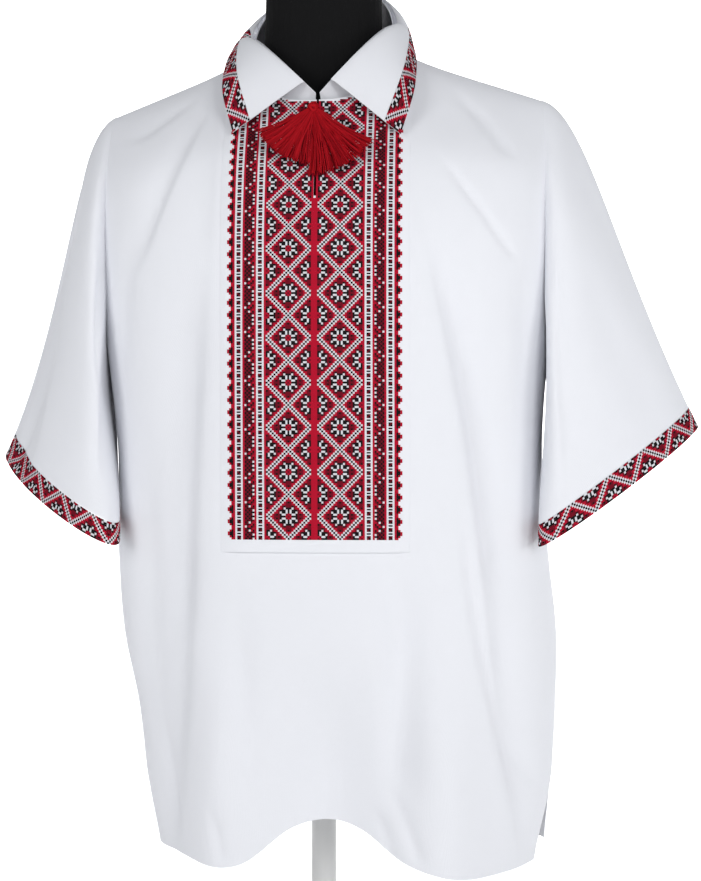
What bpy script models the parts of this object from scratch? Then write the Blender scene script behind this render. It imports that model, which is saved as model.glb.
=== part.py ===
"""Short-sleeved embroidered shirt hanging on a limbless dress form.

Metres, +Z up, the shirt's front faces -Y, +X is the viewer's right.  The origin
is on the floor under the stand's pole.  Every cut piece of the shirt is a thin
wall of its own: its outer face is worked out from the sizes below and Solidify
gives it its thickness inwards.
"""

import math
from collections import namedtuple

import bpy
import numpy as np

# ----------------------------------------------------------------------------
# Sizes
# ----------------------------------------------------------------------------

SEAM_GAP = 0.0003
HALF_SEAM_GAP = SEAM_GAP * 0.6
CUFF_GAP = SEAM_GAP * 2.0
TRIM_GAP = SEAM_GAP * 3.0
SEAM_STRIP = 0.0025
CLOTH = 0.0015
BAND_CLOTH = 0.0018
FRONT, BACK = -1, 1
LEFT, RIGHT = -1, 1

# Body: half-widths to the left and right of the axis and half-depths to the
# front and back of it, ring by ring.
BodyRing = namedtuple("BodyRing", "z left right front back")
BODY_RINGS = (
    BodyRing(0.170, 0.168, 0.222, 0.116, 0.118),
    BodyRing(0.280, 0.177, 0.227, 0.117, 0.120),
    BodyRing(0.340, 0.184, 0.230, 0.118, 0.122),
    BodyRing(0.410, 0.198, 0.231, 0.120, 0.124),
    BodyRing(0.490, 0.204, 0.223, 0.124, 0.126),
    BodyRing(0.600, 0.205, 0.217, 0.128, 0.130),
    BodyRing(0.665, 0.212, 0.221, 0.130, 0.132),
    BodyRing(0.740, 0.223, 0.230, 0.130, 0.133),
    BodyRing(0.800, 0.229, 0.236, 0.127, 0.132),
    BodyRing(0.860, 0.231, 0.238, 0.112, 0.128),
    BodyRing(0.915, 0.231, 0.238, 0.084, 0.116),
    BodyRing(1.030, 0.231, 0.238, 0.072, 0.104),
)
ROUNDNESS = 2.4

# Shoulder line, seen from the front.
RIDGE_PEAK_Z = 1.006
RIDGE_SLOPE = 0.355
RIDGE_SOFTNESS = 0.020
RIDGE_LEAN = 0.038
NECK_RISE = 0.030
NECK_RISE_WIDTH = 0.060
SHOULDER_ROUNDING = 0.100
NECK_HALF_WIDTH = 0.080
NECK_DROP = {FRONT: 0.105, BACK: 0.016}

# Armholes.
ARMPIT_Z = 0.665
SHOULDER_TIP_X = {LEFT: 0.207, RIGHT: 0.216}
SCOOP_HEIGHT = 0.085
ARMHOLE_INSET = 0.0014
EDGE_CALM = 6

# Side vents and hem.
VENT_TOP_Z = 0.285
VENT_OPENING = 0.018
VENT_PINCH = {FRONT: 0.055, BACK: 0.0}
HemPoint = namedtuple("HemPoint", "x front back")
HEM = (
    HemPoint(-0.230, 0.206, 0.200),
    HemPoint(-0.140, 0.203, 0.199),
    HemPoint(-0.075, 0.199, 0.203),
    HemPoint(-0.023, 0.233, 0.207),
    HemPoint(0.016, 0.239, 0.208),
    HemPoint(0.046, 0.230, 0.206),
    HemPoint(0.085, 0.203, 0.203),
    HemPoint(0.125, 0.189, 0.200),
    HemPoint(0.240, 0.192, 0.200),
)

# The insert that carries the embroidery, and the neck slit down its middle.
INSERT_HALF_WIDTH = 0.089
INSERT_FOOT_Z = 0.495
SLIT_WIDTH = 0.0020
SLIT_FOOT_Z = 0.830

# Largest folds: troughs (negative depth) and ridges (positive depth) that run
# down a face from head to foot.
Fold = namedtuple("Fold", "face x_head z_head x_mid z_mid x_foot z_foot depth width")
FOLDS = (
    Fold(FRONT, -0.094, 0.945, -0.138, 0.850, -0.166, 0.740, -0.007, 0.014),
    Fold(FRONT, -0.102, 0.790, -0.114, 0.500, -0.136, 0.120, -0.014, 0.016),
    Fold(FRONT, -0.155, 0.700, -0.160, 0.450, -0.156, 0.120, 0.008, 0.020),
    Fold(FRONT, 0.104, 0.790, 0.154, 0.520, 0.200, 0.120, -0.014, 0.017),
    Fold(FRONT, 0.126, 0.870, 0.150, 0.825, 0.184, 0.780, -0.006, 0.012),
    Fold(FRONT, 0.084, 0.500, 0.088, 0.380, 0.094, 0.260, -0.005, 0.016),
    Fold(FRONT, 0.014, 0.430, 0.014, 0.300, 0.014, 0.080, -0.026, 0.052),
    Fold(FRONT, -0.090, 0.420, -0.092, 0.300, -0.094, 0.080, 0.012, 0.030),
    Fold(FRONT, 0.118, 0.420, 0.120, 0.300, 0.122, 0.080, 0.014, 0.034),
    Fold(BACK, -0.120, 0.820, -0.126, 0.500, -0.130, 0.120, -0.013, 0.018),
    Fold(BACK, -0.040, 0.640, -0.036, 0.400, -0.030, 0.120, -0.010, 0.020),
    Fold(BACK, 0.052, 0.700, 0.058, 0.420, 0.064, 0.120, -0.012, 0.019),
    Fold(BACK, 0.130, 0.800, 0.142, 0.500, 0.154, 0.120, -0.013, 0.018),
)

# A fold fades in over these shares of its length, from its head and its foot.
FOLD_FADE_HEAD = 0.45
FOLD_FADE_FOOT = 0.20

# Mesh counts: columns beside and inside the insert, rows up each panel.
SIDE_COLUMNS = 8
INSERT_COLUMNS = 8
HEM_ROWS = 7
WAIST_ROWS = 4
ARMHOLE_ROWS = 11
PANEL_ROWS = (HEM_ROWS, WAIST_ROWS, ARMHOLE_ROWS)
INSERT_SHOULDER_ROWS = 2
INSERT_SHOULDER_COLUMNS = 2
SLEEVE_ROWS = 8
CUFF_ROWS = 2
COLLAR_COLUMNS = 32
STAND_ROWS = 2
LEAF_ROWS = 4
TRIM_ROWS = 2

# How the surfaces are worked out: points along each curve, the depth of the
# body as a share of its width, how the points crowd towards a column's top, and
# the steps that find where a column meets the hem and the shoulder.
SAMPLES = 200
ARC_SAMPLES = 2000
DEPTH_TO_WIDTH = 0.57
TOP_CROWDING = 1.5
HEM_STEPS = 4
SHOULDER_STEPS = 40
SHOULDER_GUESS_Z = 0.95

# Sleeves: the mouth is a tilted oval between its outer and its under-arm corner.
Sleeve = namedtuple("Sleeve", "outer inner half_depth front_sag crown_start crown_end")
SLEEVES = {
    LEFT: Sleeve((-0.3225, 0.004, 0.586), (-0.1930, -0.078, 0.501), 0.042, 0.012,
                 (-0.045, 0.0, -0.020), (-0.066, 0.0, -0.150)),
    RIGHT: Sleeve((0.3720, 0.010, 0.614), (0.2110, -0.076, 0.499), 0.040, 0.006,
                  (0.045, 0.0, -0.014), (0.083, 0.0, -0.170)),
}
UNDERARM_START = 0.014
UNDERARM_DROP = 0.045
UNDERARM_END = 0.050
UNDERARM_FLARE = 0.002
SIDE_FULLNESS = 0.022
SIDE_REACH = 0.010
CUFF_HEIGHT = 0.0215

# Collar: fold line and outer edge, by the angle round the neck from the front.
STAND_FRONT_ANGLE = 2.0
LEAF_FRONT_ANGLE = 10.0
FOLD_HALF_WIDTH = 0.069
FOLD_DEPTH = {FRONT: 0.086, BACK: 0.062}
FOLD_SIDE_Z = 1.006
FOLD_DROP = {FRONT: 0.076, BACK: 0.062}
COLLAR_LEAN = 0.090
LEAF_LEAN = -0.018
STAND_INSET = 0.0065
COLLAR_LIFT = 0.001
LEAF_ROLL = 0.0040
LEAF_FULLNESS = 0.003
LEAF_SIDE_FULLNESS = 0.009
LEAF_RISE = 0.001
LEAF_SIDE_RISE = 0.004
LEAF_STRAIGHT = 0.45
TRIM_WIDTH = 0.020
TRIM_SIDE_WIDTH = 0.006
LeafEdge = namedtuple("LeafEdge", "angle x y z")
LEAF_EDGE = (
    LeafEdge(10.0, 0.080, -0.103, 0.8915),
    LeafEdge(50.0, 0.0925, -0.081, 0.9385),
    LeafEdge(90.0, 0.0915, -0.006, 0.9865),
    LeafEdge(130.0, 0.078, 0.072, 0.998),
    LeafEdge(180.0, 0.000, 0.112, 1.000),
)

# Tassels and the knot that joins them.
KNOT_CENTRE = (-0.003, -0.1000, 0.9160)
KNOT_RADIUS = 0.0065
TasselRow = namedtuple("TasselRow", "share half_width half_depth")
TASSEL_ROWS = (
    TasselRow(0.16, 0.0045, 0.0045),
    TasselRow(0.37, 0.0100, 0.0055),
    TasselRow(0.63, 0.0170, 0.0058),
    TasselRow(0.85, 0.0210, 0.0050),
    TasselRow(1.00, 0.0185, 0.0040),
)
TASSEL_LENGTH = {LEFT: 0.055, RIGHT: 0.065}
TASSEL_SIDES = 14
TASSEL_SWING = {LEFT: 36.0, RIGHT: 31.0}
TASSEL_LEAN = 0.0250

# Dress form and stand.
FormRing = namedtuple("FormRing", "z half_width half_depth")
FORM_RINGS = (
    FormRing(0.360, 0.145, 0.078),
    FormRing(0.366, 0.150, 0.082),
    FormRing(0.450, 0.156, 0.086),
    FormRing(0.560, 0.160, 0.094),
    FormRing(0.680, 0.170, 0.100),
    FormRing(0.780, 0.180, 0.100),
    FormRing(0.850, 0.188, 0.086),
    FormRing(0.890, 0.186, 0.070),
    FormRing(0.915, 0.170, 0.060),
    FormRing(0.930, 0.145, 0.054),
    FormRing(0.945, 0.110, 0.052),
    FormRing(0.957, 0.078, 0.052),
    FormRing(0.970, 0.062, 0.052),
    FormRing(1.000, 0.0585, 0.051),
    FormRing(1.080, 0.0575, 0.050),
)
FORM_SIDES = 40
FORM_ROUNDNESS = 2.25
NECK_CAP_HEIGHT = 0.010
NECK_CAP_EDGE = 0.0015
POLE_RADIUS = 0.0125
SOCKET_RADIUS = 0.021
SOCKET_HEIGHT = 0.030
BASE_RADIUS = 0.150
BASE_HEIGHT = 0.016
FLANGE_RADIUS = 0.030
FLANGE_HEIGHT = 0.012
POLE_EDGE = 0.0005
ROUND_EDGE = 0.0015
BASE_EDGE = 0.0030
ROUND_SIDES = 40

WHITE_CLOTH = ((0.86, 0.87, 0.91), 0.80, 0.0)
RED_BAND = ((0.42, 0.02, 0.05), 0.80, 0.0)
RED_THREAD = ((0.38, 0.01, 0.03), 0.70, 0.0)
BLACK_COVER = ((0.012, 0.012, 0.013), 0.75, 0.0)
WHITE_METAL = ((0.80, 0.80, 0.80), 0.35, 0.0)


# ----------------------------------------------------------------------------
# Helpers
# ----------------------------------------------------------------------------

def clear_scene():
    for leftover in list(bpy.data.objects):
        bpy.data.objects.remove(leftover, do_unlink=True)


def make_collection(name):
    collection = bpy.data.collections.new(name)
    bpy.context.scene.collection.children.link(collection)
    return collection


def plain_material(name, look):
    colour, roughness, metallic = look
    material = bpy.data.materials.new(name)
    material.use_nodes = True
    shader = material.node_tree.nodes["Principled BSDF"]
    shader.inputs["Base Color"].default_value = (*colour, 1.0)
    shader.inputs["Roughness"].default_value = roughness
    shader.inputs["Metallic"].default_value = metallic
    return material


def add_object(name, vertices, faces, look, collection):
    mesh = bpy.data.meshes.new(name)
    mesh.from_pydata([tuple(map(float, vertex)) for vertex in vertices], [], faces)
    mesh.update()
    mesh.shade_smooth()
    mesh.set_sharp_from_angle(angle=math.radians(50.0))
    mesh.materials.append(plain_material(name, look))
    piece = bpy.data.objects.new(name, mesh)
    collection.objects.link(piece)
    return piece


def grid_faces(rows, columns, closed=False, skip=None):
    """Quads of a grid whose columns run to the viewer's right and rows run up."""
    faces = []
    last = columns if closed else columns - 1
    for row in range(rows - 1):
        for column in range(last):
            if skip and skip(row, column):
                continue
            beside = (column + 1) % columns
            lower = row * columns
            upper = lower + columns
            faces.append((lower + column, lower + beside, upper + beside, upper + column))
    return faces


def cloth_shell(name, grid, look, collection, thickness=CLOTH, closed=False, skip=None,
                flip=False):
    """A thin wall: the grid is its outer face, and Solidify thickens it inwards."""
    rows, columns, _ = grid.shape
    faces = grid_faces(rows, columns, closed, skip)
    if flip:
        faces = [face[::-1] for face in faces]
    piece = add_object(name, grid.reshape(-1, 3), faces, look, collection)
    wall = piece.modifiers.new("Wall", "SOLIDIFY")
    wall.thickness = thickness
    wall.offset = -1.0
    return piece


def lofted_solid(name, rings, look, collection):
    """A closed body through rings of equal count, capped at both ends."""
    count = len(rings[0])
    vertices = [point for ring in rings for point in ring]
    faces = grid_faces(len(rings), count, closed=True)
    faces.append(tuple(reversed(range(count))))
    top = (len(rings) - 1) * count
    faces.append(tuple(range(top, top + count)))
    return add_object(name, vertices, faces, look, collection)


def soft_curve(x, xs, ys):
    """Smooth curve through table points, flat beyond the ends."""
    xs = np.asarray(xs, dtype=float)
    ys = np.asarray(ys, dtype=float)
    x = np.clip(x, xs[0], xs[-1])
    slopes = np.gradient(ys, xs)
    index = np.clip(np.searchsorted(xs, x, side="right") - 1, 0, len(xs) - 2)
    span = xs[index + 1] - xs[index]
    t = (x - xs[index]) / span
    start = (2 * t**3 - 3 * t**2 + 1) * ys[index] + (t**3 - 2 * t**2 + t) * span * slopes[index]
    end = (3 * t**2 - 2 * t**3) * ys[index + 1] + (t**3 - t**2) * span * slopes[index + 1]
    return start + end


def column_of(table, name):
    return [getattr(row, name) for row in table]


def smooth_step(t):
    t = np.clip(t, 0.0, 1.0)
    return t * t * (3.0 - 2.0 * t)


def path_length(points):
    """Distance along a path to each of its points."""
    steps = np.linalg.norm(np.diff(points, axis=0), axis=1)
    return np.concatenate(([0.0], np.cumsum(steps)))


def part_of_path(points, start, end, count):
    """Points at equal steps along a path, from one distance along it to another."""
    length = path_length(points)
    wanted = np.linspace(start, end, count + 1)
    return np.stack([np.interp(wanted, length, points[:, axis]) for axis in range(3)], axis=1)


def grid_normals(grid, closed=False):
    """Unit normals of a grid, pointing out of the cloth's outer face."""
    if closed:
        along = np.roll(grid, -1, axis=1) - np.roll(grid, 1, axis=1)
    else:
        along = np.gradient(grid, axis=1)
    up = np.gradient(grid, axis=0)
    normals = np.cross(along, up)
    return normals / np.linalg.norm(normals, axis=2, keepdims=True)


# ----------------------------------------------------------------------------
# Body surface
# ----------------------------------------------------------------------------

def body_size(z, name):
    return soft_curve(z, column_of(BODY_RINGS, "z"), column_of(BODY_RINGS, name))


def side_name(side):
    return "right" if side == RIGHT else "left"


def depth_name(face):
    return "front" if face == FRONT else "back"


def bulge(across):
    """Depth share of a ring at a share of its half-width."""
    inside = np.clip(1.0 - np.abs(across) ** ROUNDNESS, 0.0, 1.0)
    return inside ** (1.0 / ROUNDNESS)


def ridge_z(x):
    """Height of the shoulder line at x."""
    slope = RIDGE_PEAK_Z - RIDGE_SLOPE * np.sqrt(x * x + RIDGE_SOFTNESS**2)
    return slope + NECK_RISE * np.exp(-((x / NECK_RISE_WIDTH) ** 2)) + RIDGE_LEAN * x


def neckline_z(x, face):
    drop = np.clip(1.0 - (x / NECK_HALF_WIDTH) ** 2, 0.0, 1.0)
    return ridge_z(x) - NECK_DROP[face] * drop


def shoulder_share(x, z):
    """How much of the ring's depth is left below the rounded shoulder line."""
    t = np.clip((ridge_z(x) - z) / SHOULDER_ROUNDING, 0.0, 1.0)
    return np.sqrt(1.0 - (1.0 - t) ** 2)


def fold_depth(face, x, z):
    """Outward offset of the cloth by its folds."""
    total = np.zeros_like(x)
    for fold in FOLDS:
        if fold.face != face:
            continue
        path = np.interp(z, (fold.z_foot, fold.z_mid, fold.z_head),
                         (fold.x_foot, fold.x_mid, fold.x_head))
        length = fold.z_head - fold.z_foot
        fade = smooth_step((fold.z_head - z) / (FOLD_FADE_HEAD * length))
        fade = fade * smooth_step((z - fold.z_foot) / (FOLD_FADE_FOOT * length))
        total = total + fold.depth * fade * np.exp(-(((x - path) / fold.width) ** 2))
    return total


def body_point(face, side, across, z, strip=0.0):
    """A point on the front or back, at a share of the half-width and a height.

    A strip moves it on by that width, round the body towards the side seam.
    """
    half_width = body_size(z, side_name(side))
    half_depth = body_size(z, depth_name(face))
    vent = smooth_step((VENT_TOP_Z - z) / (VENT_TOP_Z - BODY_RINGS[0].z))
    x = side * half_width * across * (1.0 - VENT_PINCH[face] * vent)
    share = bulge(across)
    y = face * half_depth * share * shoulder_share(x, z)
    normal_x = side * np.abs(across) ** (ROUNDNESS - 1.0) / half_width
    normal_y = face * share ** (ROUNDNESS - 1.0) / half_depth
    size = np.sqrt(normal_x**2 + normal_y**2)
    offset = fold_depth(face, x, z) * (1.0 - np.abs(across) ** EDGE_CALM)
    x = x + (offset * normal_x + side * face * strip * normal_y) / size
    y = y + (offset * normal_y - side * face * strip * normal_x) / size
    y = face * np.maximum(face * y + SEAM_STRIP, 0.0) + face * HALF_SEAM_GAP
    return np.stack([x, y, z + 0.0 * x], axis=-1)


def build_arc_table():
    angle = np.linspace(0.0, math.pi / 2, ARC_SAMPLES)
    across = np.sin(angle) ** (2.0 / ROUNDNESS)
    depth = np.cos(angle) ** (2.0 / ROUNDNESS)
    steps = np.hypot(np.diff(across), DEPTH_TO_WIDTH * np.diff(depth))
    return across, np.concatenate(([0.0], np.cumsum(steps)))


ACROSS_TABLE, ARC_TABLE = build_arc_table()


def edge_across(side, z):
    """Share of the half-width at which the panel ends: side seam, vent or armhole."""
    half_width = body_size(z, side_name(side))
    tip = SHOULDER_TIP_X[side] / half_width
    scoop = np.clip((z - ARMPIT_Z) / SCOOP_HEIGHT, 0.0, 1.0)
    armhole = 1.0 - (1.0 - tip) * np.sqrt(1.0 - (1.0 - scoop) ** 2) ** ROUNDNESS
    vent = 1.0 - VENT_OPENING * smooth_step((VENT_TOP_Z - z) / (VENT_TOP_Z - BODY_RINGS[0].z))
    return np.where(z > ARMPIT_Z, armhole, vent)


def side_across(side, share, z):
    """Share of the half-width, a share of the way from the insert to the edge."""
    inner = INSERT_HALF_WIDTH / body_size(z, side_name(side))
    start = np.interp(inner, ACROSS_TABLE, ARC_TABLE)
    end = np.interp(edge_across(side, z), ACROSS_TABLE, ARC_TABLE)
    return np.interp(start + (end - start) * share, ARC_TABLE, ACROSS_TABLE)


def hem_height(face, side, across_at):
    z = np.array(HEM[0].front)
    for _ in range(HEM_STEPS):
        x = side * body_size(z, side_name(side)) * across_at(z)
        z = soft_curve(x, column_of(HEM, "x"), column_of(HEM, depth_name(face)))
    return float(z)


def shoulder_height(side, across_at):
    z = np.array(SHOULDER_GUESS_Z)
    for _ in range(SHOULDER_STEPS):
        z = ridge_z(side * body_size(z, side_name(side)) * across_at(z))
    return float(z)


def column_points(face, side, share, inset_x, strip=0.0):
    """One column of a panel, from the hem to the shoulder seam or neckline.

    The last step is a narrow strip that lies square to the seam or opening.
    """
    def across_at(z):
        if share is None:
            return np.abs(inset_x) / body_size(z, side_name(side))
        return side_across(side, share, z)

    if share is None and abs(inset_x) < NECK_HALF_WIDTH:
        top_z = float(neckline_z(np.array(inset_x), face))
    else:
        top_z = shoulder_height(side, across_at)
    stops = (hem_height(face, side, across_at), INSERT_FOOT_Z, ARMPIT_Z, top_z)
    parts = []
    for low, high, count in zip(stops[:-1], stops[1:], PANEL_ROWS):
        blend = np.linspace(0.0, 1.0, SAMPLES)
        heights = high - (high - low) * (1.0 - blend) ** TOP_CROWDING
        path = body_point(face, side, across_at(heights), heights, strip)
        path = part_of_path(path, 0.0, path_length(path)[-1], count)
        parts.append(path if not parts else path[1:])
    top = parts[-1][-1]
    fall = np.clip((ridge_z(top[0]) - top[2]) / SHOULDER_ROUNDING, 0.0, 1.0)
    rise = np.array((0.0, -face * (1.0 - fall), math.sqrt(1.0 - (1.0 - fall) ** 2)))
    strip_end = top + rise * SEAM_STRIP / np.linalg.norm(rise)
    strip_end[1] = face * max(face * strip_end[1], HALF_SEAM_GAP)
    parts.append(strip_end[None])
    return np.concatenate(parts)


def insert_half():
    """Distances from the centre line of the columns in one half of the insert."""
    half = INSERT_COLUMNS // 2
    return [INSERT_HALF_WIDTH * step / half for step in range(half, 0, -1)] + [SLIT_WIDTH / 2]


def panel_grid(face):
    """Outer face of the front or back: rows up from the hem, columns left to right."""
    columns = [column_points(face, LEFT, 1.0, 0.0, SEAM_STRIP)]
    for step in range(SIDE_COLUMNS):
        columns.append(column_points(face, LEFT, 1.0 - step / SIDE_COLUMNS, 0.0))
    for x in insert_half():
        columns.append(column_points(face, LEFT, None, -x))
    for x in insert_half()[::-1]:
        columns.append(column_points(face, RIGHT, None, x))
    for step in range(1, SIDE_COLUMNS + 1):
        columns.append(column_points(face, RIGHT, step / SIDE_COLUMNS, 0.0))
    columns.append(column_points(face, RIGHT, 1.0, 0.0, SEAM_STRIP))
    return np.stack(columns, axis=1)


def build_body(collection):
    front = panel_grid(FRONT)
    back = panel_grid(BACK)
    first = SIDE_COLUMNS + 1
    last = first + INSERT_COLUMNS + 2
    slit_column = first + INSERT_COLUMNS // 2
    slit_row = int(np.argmin(np.abs(front[:, slit_column, 2] - SLIT_FOOT_Z)))

    cloth_shell("front_body", front, WHITE_CLOTH, collection,
                skip=lambda row, column: column == slit_column and row >= slit_row)
    cloth_shell("back_body", back, WHITE_CLOTH, collection, flip=True)

    foot_row = HEM_ROWS
    lift = SEAM_GAP + BAND_CLOTH
    raised = front + grid_normals(front) * lift
    insert = raised[foot_row:-1, first:last]
    shoulder_row = len(insert) - 1 - INSERT_SHOULDER_ROWS

    def left_out(row, column):
        in_slit = column == slit_column - first and row + foot_row >= slit_row
        to_side = min(column, INSERT_COLUMNS - column)
        at_shoulder = row >= shoulder_row and to_side < INSERT_SHOULDER_COLUMNS
        return in_slit or at_shoulder

    cloth_shell("embroidered_insert", insert, RED_BAND, collection, BAND_CLOTH,
                skip=left_out)
    return front, back


# ----------------------------------------------------------------------------
# Sleeves
# ----------------------------------------------------------------------------

def armhole_loop(front, back, side):
    """Points round the armhole: shoulder tip, down the front, armpit, up the back."""
    column = -1 if side == RIGHT else 0
    armpit_row = HEM_ROWS + WAIST_ROWS
    down = front[armpit_row:, column][::-1]
    up = back[armpit_row:, column]
    loop = np.concatenate([down[:-1], up[:-1]])
    loop[0] = (down[0] + up[-1]) / 2
    armpit = len(down) - 1
    loop[armpit] = (down[-1] + up[0]) / 2
    loop[:, 0] += side * ARMHOLE_INSET
    return loop


def sleeve_paths(front, back, side):
    """Lines from the armhole to the mouth, one for each point of the loop."""
    size = SLEEVES[side]
    loop = armhole_loop(front, back, side)
    count = len(loop)
    angle = np.arange(count) * 2.0 * math.pi / count
    high = ((1.0 + np.cos(angle)) / 2.0)[:, None]
    ahead = np.sin(angle)[:, None]
    outer = np.array(size.outer)
    inner = np.array(size.inner)
    centre = (outer + inner) / 2
    depth = np.array((0.0, -size.half_depth, -size.front_sag))
    mouth = centre + np.cos(angle)[:, None] * (outer - inner) / 2 + ahead * depth
    under_start = np.array((side * UNDERARM_START, 0.0, -UNDERARM_DROP))
    start = high * np.array(size.crown_start) + (1.0 - high) * under_start
    start = start + ahead * np.array((side * SIDE_REACH, -SIDE_FULLNESS, 0.0))
    under_end = np.array((side * UNDERARM_FLARE, 0.0, -UNDERARM_END))
    end = high * np.array(size.crown_end) + (1.0 - high) * under_end
    paths = []
    t = np.linspace(0.0, 1.0, SAMPLES)[:, None]
    for index in range(count):
        first = loop[index]
        second = first + start[index]
        third = mouth[index] - end[index]
        fourth = mouth[index]
        path = ((1 - t) ** 3 * first + 3 * (1 - t) ** 2 * t * second
                + 3 * (1 - t) * t**2 * third + t**3 * fourth)
        paths.append(path)
    return paths


def split_sleeve(paths):
    """Grids of the sleeve and of the band that finishes it, rows up from the mouth."""
    sleeve_columns = []
    cuff_columns = []
    for path in paths:
        length = path_length(path)[-1]
        seam = length - CUFF_HEIGHT
        sleeve_columns.append(part_of_path(path, 0.0, seam - CUFF_GAP, SLEEVE_ROWS)[::-1])
        cuff_columns.append(part_of_path(path, seam, length, CUFF_ROWS)[::-1])
    return np.stack(sleeve_columns, axis=1), np.stack(cuff_columns, axis=1)


def build_sleeves(front, back, collection):
    for side in (LEFT, RIGHT):
        word = side_name(side)
        paths = sleeve_paths(front, back, side)
        sleeve, cuff = split_sleeve(paths)
        turned = side == RIGHT
        cloth_shell(f"sleeve_{word}", sleeve, WHITE_CLOTH, collection, closed=True, flip=turned)
        cloth_shell(f"cuff_{word}", cuff, RED_BAND, collection, CLOTH, closed=True, flip=turned)


# ----------------------------------------------------------------------------
# Collar
# ----------------------------------------------------------------------------

def collar_angles(front_angle):
    gap = math.radians(front_angle)
    return np.linspace(gap, 2.0 * math.pi - gap, COLLAR_COLUMNS + 1)


def neck_ring(angle):
    """Neckline of the body at an angle from the front, growing to the right."""
    x = NECK_HALF_WIDTH * np.sin(angle)
    side = RIGHT if x >= 0 else LEFT
    face = FRONT if math.cos(angle) >= 0 else BACK
    z = neckline_z(np.array(x), face)
    across = np.abs(x) / body_size(z, side_name(side))
    return body_point(face, side, across, z)


def fold_line(angle):
    """Top of the stand, where the leaf turns over."""
    face = FRONT if math.cos(angle) >= 0 else BACK
    x = FOLD_HALF_WIDTH * math.sin(angle)
    y = -FOLD_DEPTH[face] * math.cos(angle)
    if face == FRONT:
        z = FOLD_SIDE_Z - FOLD_DROP[FRONT] * (1.0 - abs(math.sin(angle)))
    else:
        z = FOLD_SIDE_Z - FOLD_DROP[BACK] * math.cos(angle)
    return np.array((x, y, z + COLLAR_LEAN * x))


def leaf_edge(angle):
    """Outer edge of the leaf, its points included."""
    turn = math.degrees(angle)
    side = 1.0 if turn <= 180.0 else -1.0
    turn = min(turn, 360.0 - turn)
    angles = column_of(LEAF_EDGE, "angle")
    x, y, z = [float(soft_curve(turn, angles, column_of(LEAF_EDGE, name))) for name in "xyz"]
    return np.array((side * x, y, z + LEAF_LEAN * side * x))


def outward(angle):
    return np.array((math.sin(angle), -math.cos(angle), 0.0))


def leaf_path(angle):
    """Section of the leaf: a short roll over the fold, then straight to its edge."""
    start = fold_line(angle) + outward(angle) * LEAF_ROLL + np.array((0.0, 0.0, COLLAR_LIFT))
    end = leaf_edge(angle)
    to_side = math.sin(angle) ** 4
    full = outward(angle) * (LEAF_FULLNESS + LEAF_SIDE_FULLNESS * to_side)
    second = start + full + np.array((0.0, 0.0, LEAF_RISE + LEAF_SIDE_RISE * to_side))
    third = start + (end - start) * LEAF_STRAIGHT + full / 2
    t = np.linspace(0.0, 1.0, SAMPLES)[:, None]
    return ((1 - t) ** 3 * start + 3 * (1 - t) ** 2 * t * second
            + 3 * (1 - t) * t**2 * third + t**3 * end)


def build_collar(collection):
    stand_columns = []
    leaf_columns = []
    trim_columns = []
    for angle in collar_angles(STAND_FRONT_ANGLE):
        low = neck_ring(angle) - outward(angle) * STAND_INSET + np.array((0.0, 0.0, COLLAR_LIFT))
        stand_columns.append(np.linspace(low, fold_line(angle), STAND_ROWS + 1))
    for angle in collar_angles(LEAF_FRONT_ANGLE):
        path = leaf_path(angle)
        length = path_length(path)[-1]
        seam = length - TRIM_WIDTH - TRIM_SIDE_WIDTH * math.sin(angle) ** 2
        leaf_columns.append(part_of_path(path, 0.0, seam - TRIM_GAP, LEAF_ROWS)[::-1])
        trim_columns.append(part_of_path(path, seam, length, TRIM_ROWS)[::-1])
    cloth_shell("collar_stand", np.stack(stand_columns, axis=1), WHITE_CLOTH, collection)
    cloth_shell("collar_leaf", np.stack(leaf_columns, axis=1), WHITE_CLOTH, collection)
    cloth_shell("collar_trim", np.stack(trim_columns, axis=1), RED_BAND, collection)


# ----------------------------------------------------------------------------
# Tassels
# ----------------------------------------------------------------------------

def build_tassels(collection):
    bpy.ops.mesh.primitive_uv_sphere_add(segments=16, ring_count=8, radius=KNOT_RADIUS,
                                         location=KNOT_CENTRE)
    knot = bpy.context.object
    knot.name = "tassel_knot"
    knot.data.name = "tassel_knot"
    knot.data.shade_smooth()
    knot.data.materials.append(plain_material("tassel_knot", RED_THREAD))
    for owner in list(knot.users_collection):
        owner.objects.unlink(knot)
    collection.objects.link(knot)
    for side in (LEFT, RIGHT):
        swing = math.radians(TASSEL_SWING[side])
        down = np.array((side * math.sin(swing), 0.0, -math.cos(swing)))
        across = np.array((math.cos(swing), 0.0, side * math.sin(swing)))
        rings = []
        for row in TASSEL_ROWS:
            centre = np.array(KNOT_CENTRE) + down * row.share * TASSEL_LENGTH[side]
            centre = centre - np.array((0.0, TASSEL_LEAN * row.share, 0.0))
            ring = []
            for step in range(TASSEL_SIDES):
                turn = 2.0 * math.pi * step / TASSEL_SIDES
                ring.append(centre + across * row.half_width * math.cos(turn)
                            + np.array((0.0, row.half_depth * math.sin(turn), 0.0)))
            rings.append(ring)
        lofted_solid(f"tassel_{side_name(side)}", rings[::-1], RED_THREAD, collection)


# ----------------------------------------------------------------------------
# Dress form and stand
# ----------------------------------------------------------------------------

def form_ring(row):
    ring = []
    for step in range(FORM_SIDES):
        turn = 2.0 * math.pi * step / FORM_SIDES
        cosine = math.cos(turn)
        sine = math.sin(turn)
        power = 2.0 / FORM_ROUNDNESS
        ring.append((math.copysign(abs(cosine) ** power, cosine) * row.half_width,
                     math.copysign(abs(sine) ** power, sine) * row.half_depth, row.z))
    return ring


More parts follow.
